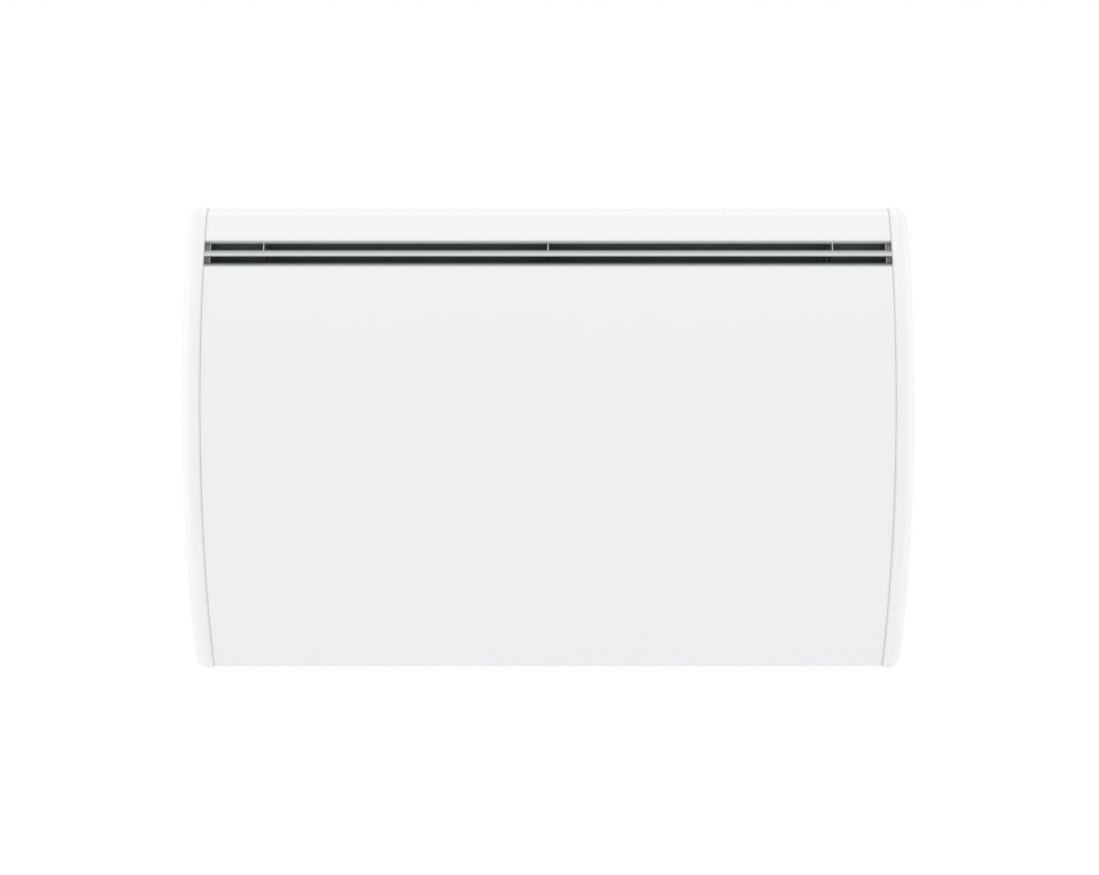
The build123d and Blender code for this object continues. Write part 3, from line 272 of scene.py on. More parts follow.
class Finish(Shading):
    """A procedural material on a Principled shader, drawn on Object coordinates in metres."""

    def __init__(self, name, **constants):
        self.material = bpy.data.materials.new(name)
        self.material.use_nodes = True
        super().__init__(self.material.node_tree)
        self.shader = self.tree.nodes["Principled BSDF"]
        for socket, value in constants.items():
            self.join(self.shader.inputs[socket.replace("_", " ")], value)

    def places(self, stretch=(1, 1, 1)):
        """The point on the object, with each axis multiplied by its stretch."""
        point = self.node("ShaderNodeTexCoord").outputs["Object"]
        return self.node("ShaderNodeMapping", None, {"Vector": point, "Scale": stretch}).outputs["Vector"]

    def axis(self, letter):
        """The point's X, Y or Z, in metres."""
        split = self.node("ShaderNodeSeparateXYZ", None, {"Vector": self.places()})
        return Value(self, split.outputs[letter])

    def from_wall(self):
        """The point's distance from the wall, in metres."""
        return 0.0 - self.axis("Y")

    def front_part(self):
        """1 in the front part of the heater and 0 nearer to the wall."""
        return self.from_wall().ramp(0.06, 0.07)

    def noise(self, size, detail=2.0, rough=0.5, stretch=(1, 1, 1)):
        """Soft noise from 0 to 1, with features of about this size in metres."""
        inputs = {"Vector": self.places(stretch), "Scale": 0.5 / size, "Detail": detail, "Roughness": rough}
        return Value(self, self.node("ShaderNodeTexNoise", None, inputs).outputs["Fac"])

    def grains(self, size, ragged):
        """Two unlike numbers from 0 to 1 for each grain of about this size in metres.

        The point shifts by the ragged share of a grain, as soft noise says, before its grain is found.
        """
        point = self.places()
        inputs = {"Vector": point, "Scale": 1.6 / size, "Detail": 3.0}
        stir = self.node("ShaderNodeTexNoise", None, inputs).outputs["Color"]
        shift = {0: stir, 1: (ragged * size,) * 3, 2: point}
        moved = self.node("ShaderNodeVectorMath", {"operation": "MULTIPLY_ADD"}, shift).outputs[0]
        cell = self.node("ShaderNodeTexVoronoi", None, {"Vector": moved, "Scale": 1.0 / size})
        split = self.node("ShaderNodeSeparateColor", None, {"Color": cell.outputs["Color"]})
        return Value(self, split.outputs["Red"]), Value(self, split.outputs["Green"])

    def relief(self, height, depth, strength, under=None):
        """A bump from a height of 0 to 1, which is this deep in metres, over another bump or none."""
        inputs = {"Height": height, "Distance": depth, "Strength": strength}
        if under is not None:
            inputs["Normal"] = under
        return self.node("ShaderNodeBump", None, inputs).outputs["Normal"]

    def dress(self, nodes=(), pieces=(), **sockets):
        """Joins the varying sockets, then puts the material on CAD nodes and on new pieces."""
        for key, value in sockets.items():
            self.join(self.shader.inputs[key.replace("_", " ")], value)
        for name in nodes:
            paint(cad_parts[name], self.material)
        for piece in pieces:
            paint(piece, self.material)

    def base_colour(self):
        """The colour that is joined to Base Color so far."""
        return self.shader.inputs["Base Color"].links[0].from_socket


def paint(piece, material):
    """Gives every face of a piece one material."""
    if piece.material_slots:
        for place in piece.material_slots:
            place.material = material
    else:
        piece.data.materials.append(material)


def shade(base, factor):
    """A colour made lighter or darker by a factor."""
    return tuple(min(1.0, channel * factor) for channel in base)


# ---- Shapes
def object_from(name, grids):
    """One object from several grids of points.

    Point (i, j) joins (i + 1, j) and (i, j + 1), and the last column joins the first.
    """
    faces = []
    corners = []
    start = 0
    for points in grids:
        rows, columns = points.shape[:2]
        index = start + np.arange(rows * columns).reshape(rows, columns)
        index = np.concatenate([index, index[:, :1]], axis=1)
        quads = np.stack([index[:-1, :-1], index[:-1, 1:], index[1:, 1:], index[1:, :-1]], axis=-1)
        faces.append(quads.reshape(-1, 4))
        corners.append(points.reshape(-1, 3))
        start += rows * columns
    mesh = bpy.data.meshes.new(name)
    mesh.from_pydata(np.concatenate(corners).tolist(), [], np.concatenate(faces).tolist())
    made = bpy.data.objects.new(name, mesh)
    bpy.context.scene.collection.objects.link(made)
    return made


def piece_from(name, grids, body, crease=0.0):
    """An object from grids of points, welded at its poles, that rides on a body.

    Edges that turn by more than the crease, in degrees, stay sharp. Without one, all are smooth.
    """
    made = object_from(name, grids)
    mesh = made.data
    work = bmesh.new()
    work.from_mesh(mesh)
    bmesh.ops.remove_doubles(work, verts=work.verts, dist=1e-6)
    bmesh.ops.recalc_face_normals(work, faces=work.faces)
    work.to_mesh(mesh)
    work.free()
    mesh.polygons.foreach_set("use_smooth", [True] * len(mesh.polygons))
    if crease:
        mesh.set_sharp_from_angle(angle=math.radians(crease))
    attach(made, body)
    return made


def smoothstep(low, high, values):
    """0 below low, 1 above high, and a smooth cubic between them."""
    share = np.clip((values - low) / (high - low), 0.0, 1.0)
    return share * share * (3 - 2 * share)


def arc(centre, radius, start, end, steps):
    """Points (y, z) on a circle, centre + radius * (cos a, sin a), between two angles in degrees."""
    turn = np.radians(np.linspace(start, end, steps))
    return np.array(centre) + radius * np.stack([np.cos(turn), np.sin(turn)], axis=-1)


def front_line(start, end, steps, deeper=0.0):
    """Points (y, z) along the front, or deeper behind it: y = cy - sqrt(r ** 2 - (z - cz) ** 2)."""
    heights = np.linspace(start, end, steps)
    radius = FRONT_RADIUS - deeper
    depths = FRONT_CENTRE[0] - np.sqrt(radius ** 2 - (heights - FRONT_CENTRE[1]) ** 2)
    return np.stack([depths, heights], axis=-1)


def rolled_front(start, end, steps, radius):
    """Points (y, z) along the front to a height, and from there through a quarter turn into the casing.

    The turn's points are p + r * (inward * (1 - cos a) + onward * sin a), from the front's last point
    p, where onward runs along the front.
    """
    front = front_line(start, end, steps)
    inward = np.array(FRONT_CENTRE) - front[-1]
    inward = inward / np.linalg.norm(inward)
    onward = np.sign(end - start) * np.array([-inward[1], inward[0]])
    turn = np.radians(np.linspace(0.0, 90.0, 12)[1:, None])
    curl = front[-1] + radius * (inward * (1 - np.cos(turn)) + onward * np.sin(turn))
    return np.concatenate([front, curl])


def bent_sheet(line, near, far, sheet):
    """A bent sheet from one place in X to another, as rings of four corners along its middle line.

    The corners are the line's point plus and minus half a sheet along its normal, which is the
    direction from the last point to the next, turned by 90 degrees. Each end closes on its middle.
    """
    slope = np.gradient(line, axis=0)
    slope = slope / np.linalg.norm(slope, axis=1)[:, None]
    half = 0.5 * sheet * np.stack([-slope[:, 1], slope[:, 0]], axis=-1)
    corners = [(near, line + half), (far, line + half), (far, line - half), (near, line - half)]
    rings = np.stack([np.insert(flat, 0, x, axis=1) for x, flat in corners], axis=1)
    ends = [np.repeat(ring.mean(axis=0)[None, None], 4, axis=1) for ring in (rings[0], rings[-1])]
    return np.concatenate([ends[0], rings, ends[1]]) * MM


def sheet_pair(line, span, sheet):
    """A bent sheet at each end of the heater, over a span of distances from its middle."""
    return [bent_sheet(line, side * span[0], side * span[1], sheet) for side in (-1, 1)]


def turned(profile, steps):
    """A profile of radii and heights turned about Y: (radius * cos a, height, radius * sin a)."""
    turns = np.linspace(0.0, 2 * np.pi, steps, endpoint=False)
    radius = profile[:, 0, None]
    height = np.repeat(profile[:, 1, None], steps, axis=1)
    return np.stack([radius * np.cos(turns), height, radius * np.sin(turns)], axis=-1)


def pan_head_screw(fittings, centre):
    """A screw seen from behind the heater, its head towards +Y.

    Its profile turns about the screw's axis: radius and height go from the head's middle over a
    dome, height = h * (1 - 0.3 * (r / R) ** 4), down the rim, in to the shank and along to the tip.
    Inside the recess's reach the dome sinks where the smaller of |x| and |z| is under half an arm.
    """
    steps = 48
    radius = fittings.head_radius
    height = fittings.head_height
    shank = fittings.shank_radius
    across = np.linspace(0.0, 1.0, 15) * radius
    head = turned(np.stack([across, height * (1 - 0.3 * (across / radius) ** 4)], axis=-1), steps)
    arm = fittings.recess_width / 2
    narrow = np.minimum(np.abs(head[..., 0]), np.abs(head[..., 2]))
    inside = smoothstep(arm * 1.35, arm * 0.8, narrow)
    inside = inside * smoothstep(fittings.recess_reach, fittings.recess_reach * 0.82, across)[:, None]
    head[..., 1] -= fittings.recess_depth * inside
    lower = np.array([
        (radius, height * 0.45),
        (radius * 0.985, 0.0),
        (shank, 0.0),
        (shank, -0.85 * fittings.shank_length),
        (0.0, -fittings.shank_length),
    ])
    return np.concatenate([head, turned(lower, steps)]) + centre


def inlay(middle, along, across, out, half_length, half_width, height):
    """A flat mark with rounded ends and a soft top edge.

    Its outline is a superellipse |a| ** 4 + |b| ** 4 = 1 in units of its half length and half width,
    and it shrinks towards the top by rings whose height follows a quarter circle.
    """
    turns = np.linspace(0.0, 2 * np.pi, 24, endpoint=False)
    a = np.sign(np.cos(turns)) * np.abs(np.cos(turns)) ** 0.5 * half_length
    b = np.sign(np.sin(turns)) * np.abs(np.sin(turns)) ** 0.5 * half_width
    shrink = np.array([0.0, 1.0, 1.0, 0.94, 0.0])
    rise = np.array([0.0, 0.0, 0.6, 1.0, 1.0]) * height
    plane = a[:, None] * along + b[:, None] * across
    return middle + shrink[:, None, None] * plane + rise[:, None, None] * out


# ---- Operators
class HeaterOperator(bpy.types.Operator):
    """What the heater's operators share."""

    bl_options = {"REGISTER", "UNDO"}


class HEATER_OT_front_casing(HeaterOperator):
    """Stove enamel on the rolled front casing, the intake grille and the foot closers"""

    bl_idname = "heater.front_casing"
    bl_label = "Front casing"

    # Each strip's run along the front in millimetres: start, end, steps and its roll's radius.
    upper_run = (203.6, 183.15, 12, 3.0)
    bar_run = (166.6, 169.25, 4, 4.4)
    lower_run = (-211.2, 157.5, 140, 4.5)
    web_heights = (152.0, 188.0)

    # Distances from the middle in millimetres.
    casing_end = 322.0
    web_span = (318.0, 321.9)
    closer_span = (307.9, 321.8)

    # Distances from the wall in metres between which the painted shade along the seam sets in.
    seam_shade_from_wall = (0.0190, 0.0205)

    # Each hem's painted shade, darkening towards the slot: heights in metres where it starts, is full,
    # fades and ends, and its strength.
    hem_painted_shades = (
        (0.177, 0.178, 0.1796, 0.1829, 0.58),
        (0.1661, 0.1731, 0.177, 0.178, 0.72),
        (0.165, 0.166, 0.1664, 0.1685, 0.8),
        (0.1558, 0.1602, 0.1635, 0.1645, 0.95),
    )

    def execute(self, context):
        colours = context.scene.heater_colours
        textures = context.scene.heater_textures
        enamel = Finish("stove_enamel")
        ripple = enamel.noise(textures.enamel_ripple, detail=2.5, rough=0.55)
        speck = enamel.noise(textures.enamel_ripple / 9, detail=1.0)
        cloud = enamel.noise(0.09, detail=3.0, rough=0.6)
        flow = enamel.relief(ripple, textures.enamel_depth, 0.5)
        # Painted shade: the enamel darkens in a line along each end cap's lip.
        off_hem = enamel.from_wall().ramp(*self.seam_shade_from_wall)
        seam = abs(enamel.axis("X")).ramp(textures.seam - textures.seam_shade, textures.seam) * off_hem
        coat = enamel.tint(cloud, shade(colours.enamel, 0.992), shade(colours.enamel, 1.008))
        # Painted shade: the enamel darkens to near black inside the rolled slot hems.
        dull = enamel.tint(self.slot_edge_shade(enamel), coat, shade(colours.enamel, 0.04))
        enamel.dress(
            ["intake_grille"],
            [self.rolled_casing(), self.foot_closers()],
            Base_Color=enamel.tint(seam * 0.7, dull, shade(colours.enamel, 0.5)),
            Roughness=0.36 + 0.06 * cloud + 0.03 * speck + 0.1 * seam,
            Normal=enamel.relief(speck, textures.enamel_depth / 6, 0.4, flow),
        )
        return {"FINISHED"}

    def slot_edge_shade(self, enamel):
        """Painted shade: full at the inner edge of each rolled hem, falling to 0 where the hem leaves the
        front.
        """
        height = enamel.axis("Z")
        hem_shades = [strength * height.band(*heights) for *heights, strength in self.hem_painted_shades]
        return sum(hem_shades) * enamel.front_part()

    def rolled_casing(self):
        """The casing's sheet, its outlet slots' edges rolled inwards: three bent strips and two webs.

        The upper strip climbs the rear hem, crosses the top, turns the shoulder on a circle of radius
        14 mm and comes down the front to its roll. The bar between the slots is rolled along its top.
        The lower strip goes from the lip up the front to its roll. The webs join the three.
        """
        hem = np.concatenate([[(-18.5, 201.5)], arc((-19.5, 212.0), 1.0, 0, 90, 7)])
        shoulder = arc((-62.66, 199.0), 14.0, 90, 159.5, 15)
        lip = np.concatenate([[(-35.03, -213.0)], arc((-39.58, -210.5), 2.5, 270, 210, 9)])
        upper = np.concatenate([hem, shoulder, rolled_front(*self.upper_run)])
        bar = rolled_front(*self.bar_run)
        lower = np.concatenate([lip, rolled_front(*self.lower_run)])
        end = self.casing_end
        strips = [bent_sheet(line, -end, end, CASING_SHEET) for line in (upper, bar, lower)]
        web = front_line(*self.web_heights, 12, deeper=CASING_SHEET)
        strips += sheet_pair(web, self.web_span, CASING_SHEET)
        made = piece_from("rolled_front_casing", strips, "heater", CREASE)
        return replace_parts(made, "front_casing")

    def foot_closers(self):
        """A folded strip behind each lower corner, from the intake grille's end to behind the cap's lip.

        Its middle line crosses the foot, turns up on a circle of radius 1 mm and climbs the back panel.
        """
        line = np.concatenate([[(-37.4, -212.0)], arc((-21.3, -211.0), 1.0, -90, 0, 9), [(-20.3, -203.6)]])
        strips = sheet_pair(line, self.closer_span, CASING_SHEET)
        return piece_from("foot_closers", strips, "heater", CREASE)


class HEATER_OT_end_caps(HeaterOperator):
    """Moulded plastic on the two end caps and on their tongues behind the outlet slots"""

    bl_idname = "heater.end_caps"
    bl_label = "End caps"

    # The painted shade along a lip's seam: its start in metres past the edge, its width in seam shades.
    lip_shade_start = -0.0003
    line_width = 2.6

    # The tongues, in millimetres.
    tongue_heights = (150.0, 190.0)
    tongue_span = (309.5, 316.0)
    tongue_depth = 8.0
    tongue_wall = 1.5

    def execute(self, context):
        colours = context.scene.heater_colours
        textures = context.scene.heater_textures
        caps = moulding("cap_moulding", context, colours.end_cap, 0.44)
        # Painted shade: the caps darken along the seam with the casing.
        past = abs(caps.axis("X")) - textures.seam
        line = 1.0 - past.ramp(self.lip_shade_start, self.line_width * textures.seam_shade)
        caps.dress(
            ["left_end_cap", "right_end_cap"],
            Base_Color=caps.tint(line * 0.45, caps.base_colour(), shade(colours.end_cap, 0.55)),
        )
        # Painted light: the tongues' plastic is 1.13 times lighter than the caps' own, making up for the
        # light that the slots keep off them.
        inside = shade(colours.end_cap, 1.13)
        moulding("tongue_moulding", context, inside, 0.44).dress(pieces=[self.tongues()])
        return {"FINISHED"}

    def tongues(self):
        """A strip of wall behind each end of the outlet slots, on the front's curve but deeper."""
        line = front_line(*self.tongue_heights, 9, deeper=self.tongue_depth)
        strips = sheet_pair(line, self.tongue_span, self.tongue_wall)
        return piece_from("end_cap_tongues", strips, "heater", CREASE)


def moulding(name, context, base, roughness, grain=1.0):
    """A moulded plastic: a fine spark-eroded grain, slow flow shading and slightly uneven gloss."""
    textures = context.scene.heater_textures
    plastic = Finish(name)
    fine = plastic.noise(textures.mould_grain * grain, rough=0.6)
    flow = plastic.noise(0.045)
    plastic.dress(
        Base_Color=plastic.tint(flow, shade(base, 0.985), shade(base, 1.01)),
        Roughness=roughness - 0.05 + 0.06 * flow + 0.05 * fine,
        Normal=plastic.relief(fine, textures.mould_depth * grain, 0.6),
    )
    return plastic


def spoke(angle):
    """The directions outwards and sideways at an angle in radians round the X axis."""
    cos = math.cos(angle)
    sin = math.sin(angle)
    return np.array([0.0, cos, sin]), np.array([0.0, -sin, cos])


def axis_point(low, high, x):
    """The point at a place in X on the middle axis of a box with these two corners."""
    return np.array([x, (low[1] + high[1]) / 2, (low[2] + high[2]) / 2])


class HEATER_OT_controls(HeaterOperator):
    """Bezel, knob and rocker, with the dial's scale, the pointer's inlay and the switch's symbols"""

    bl_idname = "heater.controls"
    bl_label = "Controls"

    # The tray below the knob, and the pointer's groove with half its length and half its width.
    tray = 0.5 * MM
    groove_depth = 0.6 * MM
    groove_fill = 0.3 * MM
    groove_middle = 7.25 * MM
    groove_half = np.array([5.4, 0.66]) * MM

    # The rocker's pivot, the paddle's tilt in degrees, and its face's crest and tip: (height, along).
    pivot = np.array([317.5, -57.0, 40.0]) * MM
    tilt = 8.0
    crest = np.array([4.0, 0.0]) * MM
    tip = np.array([5.6, 11.5]) * MM

    # The symbols' share of the way from crest to tip, and their sizes.
    symbol_share = 0.55
    bar_half = np.array([2.0, 0.3]) * MM
    ring_radii = np.array([1.35, 1.4, 1.95, 2.0, 1.35]) * MM
    ring_rises = np.array([0.0, 1.0, 1.0, 0.0, 0.0])

    def execute(self, context):
        colours = context.scene.heater_colours
        moulding("bezel_moulding", context, colours.bezel, 0.5, grain=1.4).dress(["control_bezel"])
        moulding("knob_moulding", context, colours.knob, 0.4, grain=0.8).dress(["thermostat_knob"])
        moulding("rocker_moulding", context, colours.rocker, 0.28, grain=0.5).dress(["rocker_body"])
        moulding("paddle_moulding", context, colours.paddle, 0.25, grain=0.4).dress(["rocker_paddle"])
        marking = moulding("marking_ink", context, colours.marking, 0.5, grain=0.5)
        fittings = context.scene.heater_fittings
        marks = [self.dial_scale(fittings), self.pointer_inlay(), *self.switch_symbols(fittings)]
        marking.dress(pieces=marks)
        return {"FINISHED"}

    def dial_scale(self, fittings):
        """Ticks round the knob that grow towards the hottest setting.

        At a share from 0 to 1 of the sweep, a tick is 0.7 + 0.5 * share of the tick length long and
        0.8 + 0.4 * share of the tick width wide.
        """
        low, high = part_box("thermostat_knob")
        middle = axis_point(low, high, low[0] - self.tray)
        ticks = []
        for share in np.linspace(0.0, 1.0, fittings.tick_count):
            out, side = spoke(math.radians(KNOB_START - KNOB_SWEEP * share))
            half_length = fittings.tick_length * (0.35 + 0.25 * share)
            half_width = fittings.tick_width * (0.4 + 0.2 * share)
            place = middle + out * fittings.tick_radius
            ticks.append(inlay(place, out, side, RIGHT, half_length, half_width, fittings.print_height))
        return piece_from("dial_scale", ticks, "heater")

    def pointer_inlay(self):
        """The paint in the knob's pointer groove."""
        low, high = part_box("thermostat_knob")
        out, side = spoke(math.radians(KNOB_START))
        middle = axis_point(low, high, high[0] - self.groove_depth) + out * self.groove_middle
        mark = inlay(middle, out, side, RIGHT, *self.groove_half, self.groove_fill)
        return piece_from("pointer_inlay", [mark], "dial")

    def switch_symbols(self, fittings):
        """The bar and ring that mark the rocker's on and off ends, on its sloping faces."""
        tilt = math.radians(self.tilt)
        turn = np.array([[math.cos(tilt), math.sin(tilt)], [-math.sin(tilt), math.cos(tilt)]])
        side = np.array([0.0, 1.0, 0.0])
        height = fittings.print_height
        made = []
        for end, name in ((1, "switch_on_bar"), (-1, "switch_off_ring")):
            down = self.tip * (1, end) - self.crest
            spot = turn @ (self.crest + down * self.symbol_share)
            slope = turn @ (down / np.linalg.norm(down))
            along = np.array([slope[0], 0.0, slope[1]])
            out = np.array([abs(slope[1]), 0.0, -slope[0] * np.sign(slope[1])])
            middle = self.pivot + np.array([spot[0], 0.0, spot[1]])
            if end > 0:
                mark = inlay(middle, along, side, out, *self.bar_half, height)
            else:
                mark = middle + self.ring(along, side, out, height)
            made.append(piece_from(name, [mark], "rocker"))
        return made

    def ring(self, along, side, out, height):
        """A ring from its section: radius * (cos a * along + sin a * side) + rise * height * out."""
        turns = np.linspace(0.0, 2 * np.pi, 40, endpoint=False)[:, None]
        across = np.cos(turns) * along + np.sin(turns) * side
        return self.ring_radii[:, None, None] * across + self.ring_rises[:, None, None] * height * out


class HEATER_OT_sheet_metal(HeaterOperator):
    """Galvanised spangle on the rear and inner sheets, and aluminised sheet on the heat shield"""

    bl_idname = "heater.sheet_metal"
    bl_label = "Sheet metal"

    # A zinc grain's feathered ridges in radians per metre, and how far soft noise bends them.
    ridge_turns = 7400.0
    ridge_bend = 40.0

    # Heights in metres between which the centre brace's black paint ends.
    brace_paint = (0.1690, 0.1705)

    # Spot welds in metres: the row's distance from the middle, one weld's height, the pitch, and where
    # a ring and the row start, are full, fade and end.
    weld_row = 0.2644
    weld_height = -0.150
    weld_pitch = 0.056
    weld_ring = (0.0014, 0.0022, 0.0024, 0.0032)
    weld_run = (-0.160, -0.155, 0.190, 0.195)

    def execute(self, context):
        colours = context.scene.heater_colours
        self.galvanised("galvanised_sheet", context).dress(["left_duct_wall", "right_duct_wall"])
        plates = self.galvanised("galvanised_plate", context)
        # Painted shade: the side plates' front edges, seen through the slots, darken towards dark zinc.
        edge = plates.front_part()
        plates.dress(
            ["left_side_plate", "right_side_plate"],
            Base_Color=plates.tint(edge * 0.55, plates.base_colour(), shade(colours.zinc_dark, 0.3)),
        )
        brace = self.galvanised("galvanised_brace", context)
        bright = brace.axis("Z").ramp(*self.brace_paint)
        brace.dress(
            ["centre_brace"],
            Base_Color=brace.tint(bright, shade(colours.duct_black, 0.5), brace.base_colour()),
            Metallic=0.85 * bright,
        )
        panel = self.galvanised("galvanised_panel", context)
        weld = self.spot_welds(panel)
        panel.dress(
            ["back_panel"],
            Base_Color=panel.tint(weld * 0.45, panel.base_colour(), shade(colours.zinc_dark, 0.55)),
        )
        shield = Finish("aluminised_sheet", Metallic=0.9)
        rolled = shield.noise(0.0009, detail=3.0, stretch=(0.03, 1, 1))
        haze = shield.noise(0.05, detail=3.0)
        shield.dress(
            ["heat_shield"],
            Base_Color=shield.tint(haze, (0.56, 0.57, 0.58), (0.70, 0.71, 0.72)),
            Roughness=0.30 + 0.16 * rolled + 0.08 * haze,
            Normal=shield.relief(rolled, 0.00001, 0.3),
        )
        return {"FINISHED"}

    def galvanised(self, name, context):
        """Zinc in ragged grains, each feathered with fine ridges that run its own way."""
        colours = context.scene.heater_colours
        textures = context.scene.heater_textures
        zinc = Finish(name, Metallic=0.85)
        tone, turn = zinc.grains(textures.spangle, ragged=0.7)
        patch = zinc.noise(textures.spangle * 3, detail=4.0, rough=0.65)
        angle = turn * (2 * math.pi)
        across = zinc.axis("X") + 0.8 * zinc.axis("Y")
        along = zinc.axis("Z") + 0.3 * zinc.axis("Y")
        ridge = across * angle.cosine() + along * angle.sine()
        wander = zinc.noise(0.004, detail=3.0)
        feather = 0.5 + 0.5 * (ridge * self.ridge_turns + wander * self.ridge_bend).sine()
        mottle = 0.49 * tone + 0.43 * patch + 0.08 * feather
        zinc.dress(
            Base_Color=zinc.tint(mottle, colours.zinc_dark, colours.zinc_light),
            Roughness=0.34 + 0.14 * tone + 0.04 * feather + 0.06 * patch,
            Normal=zinc.relief(0.8 * tone + 0.2 * feather, 0.00002, 0.25),
        )
        return zinc

    def spot_welds(self, panel):
        """1 on the ring of each spot weld, and 0 elsewhere."""
        sideways = abs(panel.axis("X")) - self.weld_row
        height = panel.axis("Z")
        up = (height - self.weld_height).from_nearest(self.weld_pitch)
        return distance(sideways, up).band(*self.weld_ring) * height.band(*self.weld_run)


class HEATER_OT_black_ducting(HeaterOperator):
    """Matt black heat-proof paint on the air deflector and slot blanks"""

    bl_idname = "heater.black_ducting"
    bl_label = "Black ducting"

    slot_heights = (0.160, 0.182)  # of the two outlet slots, in metres

    def execute(self, context):
        base = context.scene.heater_colours.duct_black
        blanks = ["left_slot_blank", "right_slot_blank"]
        # Painted shade: each black is scaled by one factor at the lower slot and another at the upper slot.
        self.paint_black("deflector_black", ["air_deflector"], base, lower=2.0, upper=2.1)
        self.paint_black("blank_black", blanks, base, lower=0.25, upper=1.1)
        return {"FINISHED"}

    def paint_black(self, name, nodes, base, lower, upper):
        """Matt dusted paint, with painted shade: one brightness at the lower slot and another at the upper
        slot.
        """
        black = Finish(name)
        tooth = black.noise(0.0007, detail=3.0, rough=0.6)
        dust = black.noise(0.018, detail=5.0, rough=0.7).ramp(0.42, 0.78)
        height = black.axis("Z").ramp(*self.slot_heights)
        painted_slot_shade = black.tint(height, shade(base, lower), shade(base, upper))
        black.dress(
            nodes,
            Base_Color=black.tint(dust * 0.3, painted_slot_shade, shade(base, upper * 1.5)),
            Roughness=0.55 + 0.12 * tooth + 0.08 * dust,
            Normal=black.relief(tooth, 0.00002, 0.35),
        )


class HEATER_OT_heating_element(HeaterOperator):
    """Dulled aluminium fins, a heat-tinted sheath, ceramic bushes and brass terminals"""

    bl_idname = "heater.heating_element"
    bl_label = "Heating element"

    # Distances from the middle in metres over which the sheath turns straw, then bare.
    straw = (0.225, 0.25)
    bare = (0.25, 0.266)

    def execute(self, context):
        fins = Finish("extruded_aluminium", Metallic=0.9)
        die = fins.noise(0.0006, detail=3.0, stretch=(0.01, 1, 1))
        heat = fins.noise(0.03, detail=3.0)
        fins.dress(
            ["element_body"],
            Base_Color=fins.tint(heat, (0.42, 0.42, 0.42), (0.58, 0.58, 0.57)),
            Roughness=0.40 + 0.15 * die + 0.05 * heat,
            Normal=fins.relief(die, 0.00002, 0.4),
        )
        sheath = Finish("heat_tinted_steel", Metallic=1.0)
        reach = abs(sheath.axis("X")) + 0.01 * sheath.noise(0.006)
        tinted = sheath.tint(reach.ramp(*self.straw), (0.20, 0.19, 0.22), (0.45, 0.35, 0.24))
        sheath.dress(
            ["element_rod"],
            Base_Color=sheath.tint(reach.ramp(*self.bare), tinted, (0.52, 0.50, 0.48)),
            Roughness=0.3 + 0.12 * sheath.noise(0.0008, stretch=(0.05, 1, 1)),
        )
        steatite = Finish("steatite")
        pore = steatite.noise(0.0006, detail=3.0)
        steatite.dress(
            ["left_bush", "right_bush", "terminal_block"],
            Base_Color=steatite.tint(pore.ramp(0.3, 0.5), (0.55, 0.52, 0.46), (0.72, 0.69, 0.62)),
            Roughness=0.55 + 0.2 * pore,
            Normal=steatite.relief(pore, 0.00003, 0.5),
        )
        brass = Finish("plated_brass", Metallic=1.0)
        film = brass.noise(0.002, detail=3.0)
        brass.dress(
            ["element_terminals", "terminal_screws", "earth_stud", "earth_nut", "thermostat_nut"],
            Base_Color=brass.tint(film, (0.50, 0.38, 0.17), (0.70, 0.56, 0.29)),
            Roughness=0.25 + 0.2 * film,
        )
        return {"FINISHED"}


class HEATER_OT_electrical(HeaterOperator):
    """Phenolic thermostat, copper sensing bulb and zinc-plated fittings"""

    bl_idname = "heater.electrical"
    bl_label = "Electrical fittings"

    def execute(self, context):
        phenolic = Finish("phenolic", IOR=1.55)
        swirl = phenolic.noise(0.004, detail=4.0, rough=0.65)
        phenolic.dress(
            ["thermostat_body"],
            Base_Color=phenolic.tint(swirl, (0.012, 0.008, 0.006), (0.030, 0.017, 0.011)),
            Roughness=0.32 + 0.15 * swirl,
        )
        copper = Finish("drawn_copper", Metallic=1.0)
        tarnish = copper.noise(0.004, detail=4.0)
        copper.dress(
            ["sensing_bulb"],
            Base_Color=copper.tint(tarnish, (0.30, 0.13, 0.07), (0.62, 0.30, 0.18)),
            Roughness=0.25 + 0.25 * tarnish,
        )
        clips = ["bezel_screws", "clamp_screws", "bulb_clips", "cord_clamp"]
        zinc_plate().dress([*clips, "thermal_cutout", "thermostat_shaft"])
        return {"FINISHED"}


def zinc_plate():
    """Bright zinc plate with a faint blue and straw film."""
    plate = Finish("zinc_plate", Metallic=1.0)
    film = plate.noise(0.0025, detail=3.0)
    brushed = plate.noise(0.0004)
    plate.dress(
        Base_Color=plate.tint(film, (0.50, 0.53, 0.57), (0.66, 0.65, 0.60)),
        Roughness=0.24 + 0.14 * film + 0.06 * brushed,
    )
    return plate


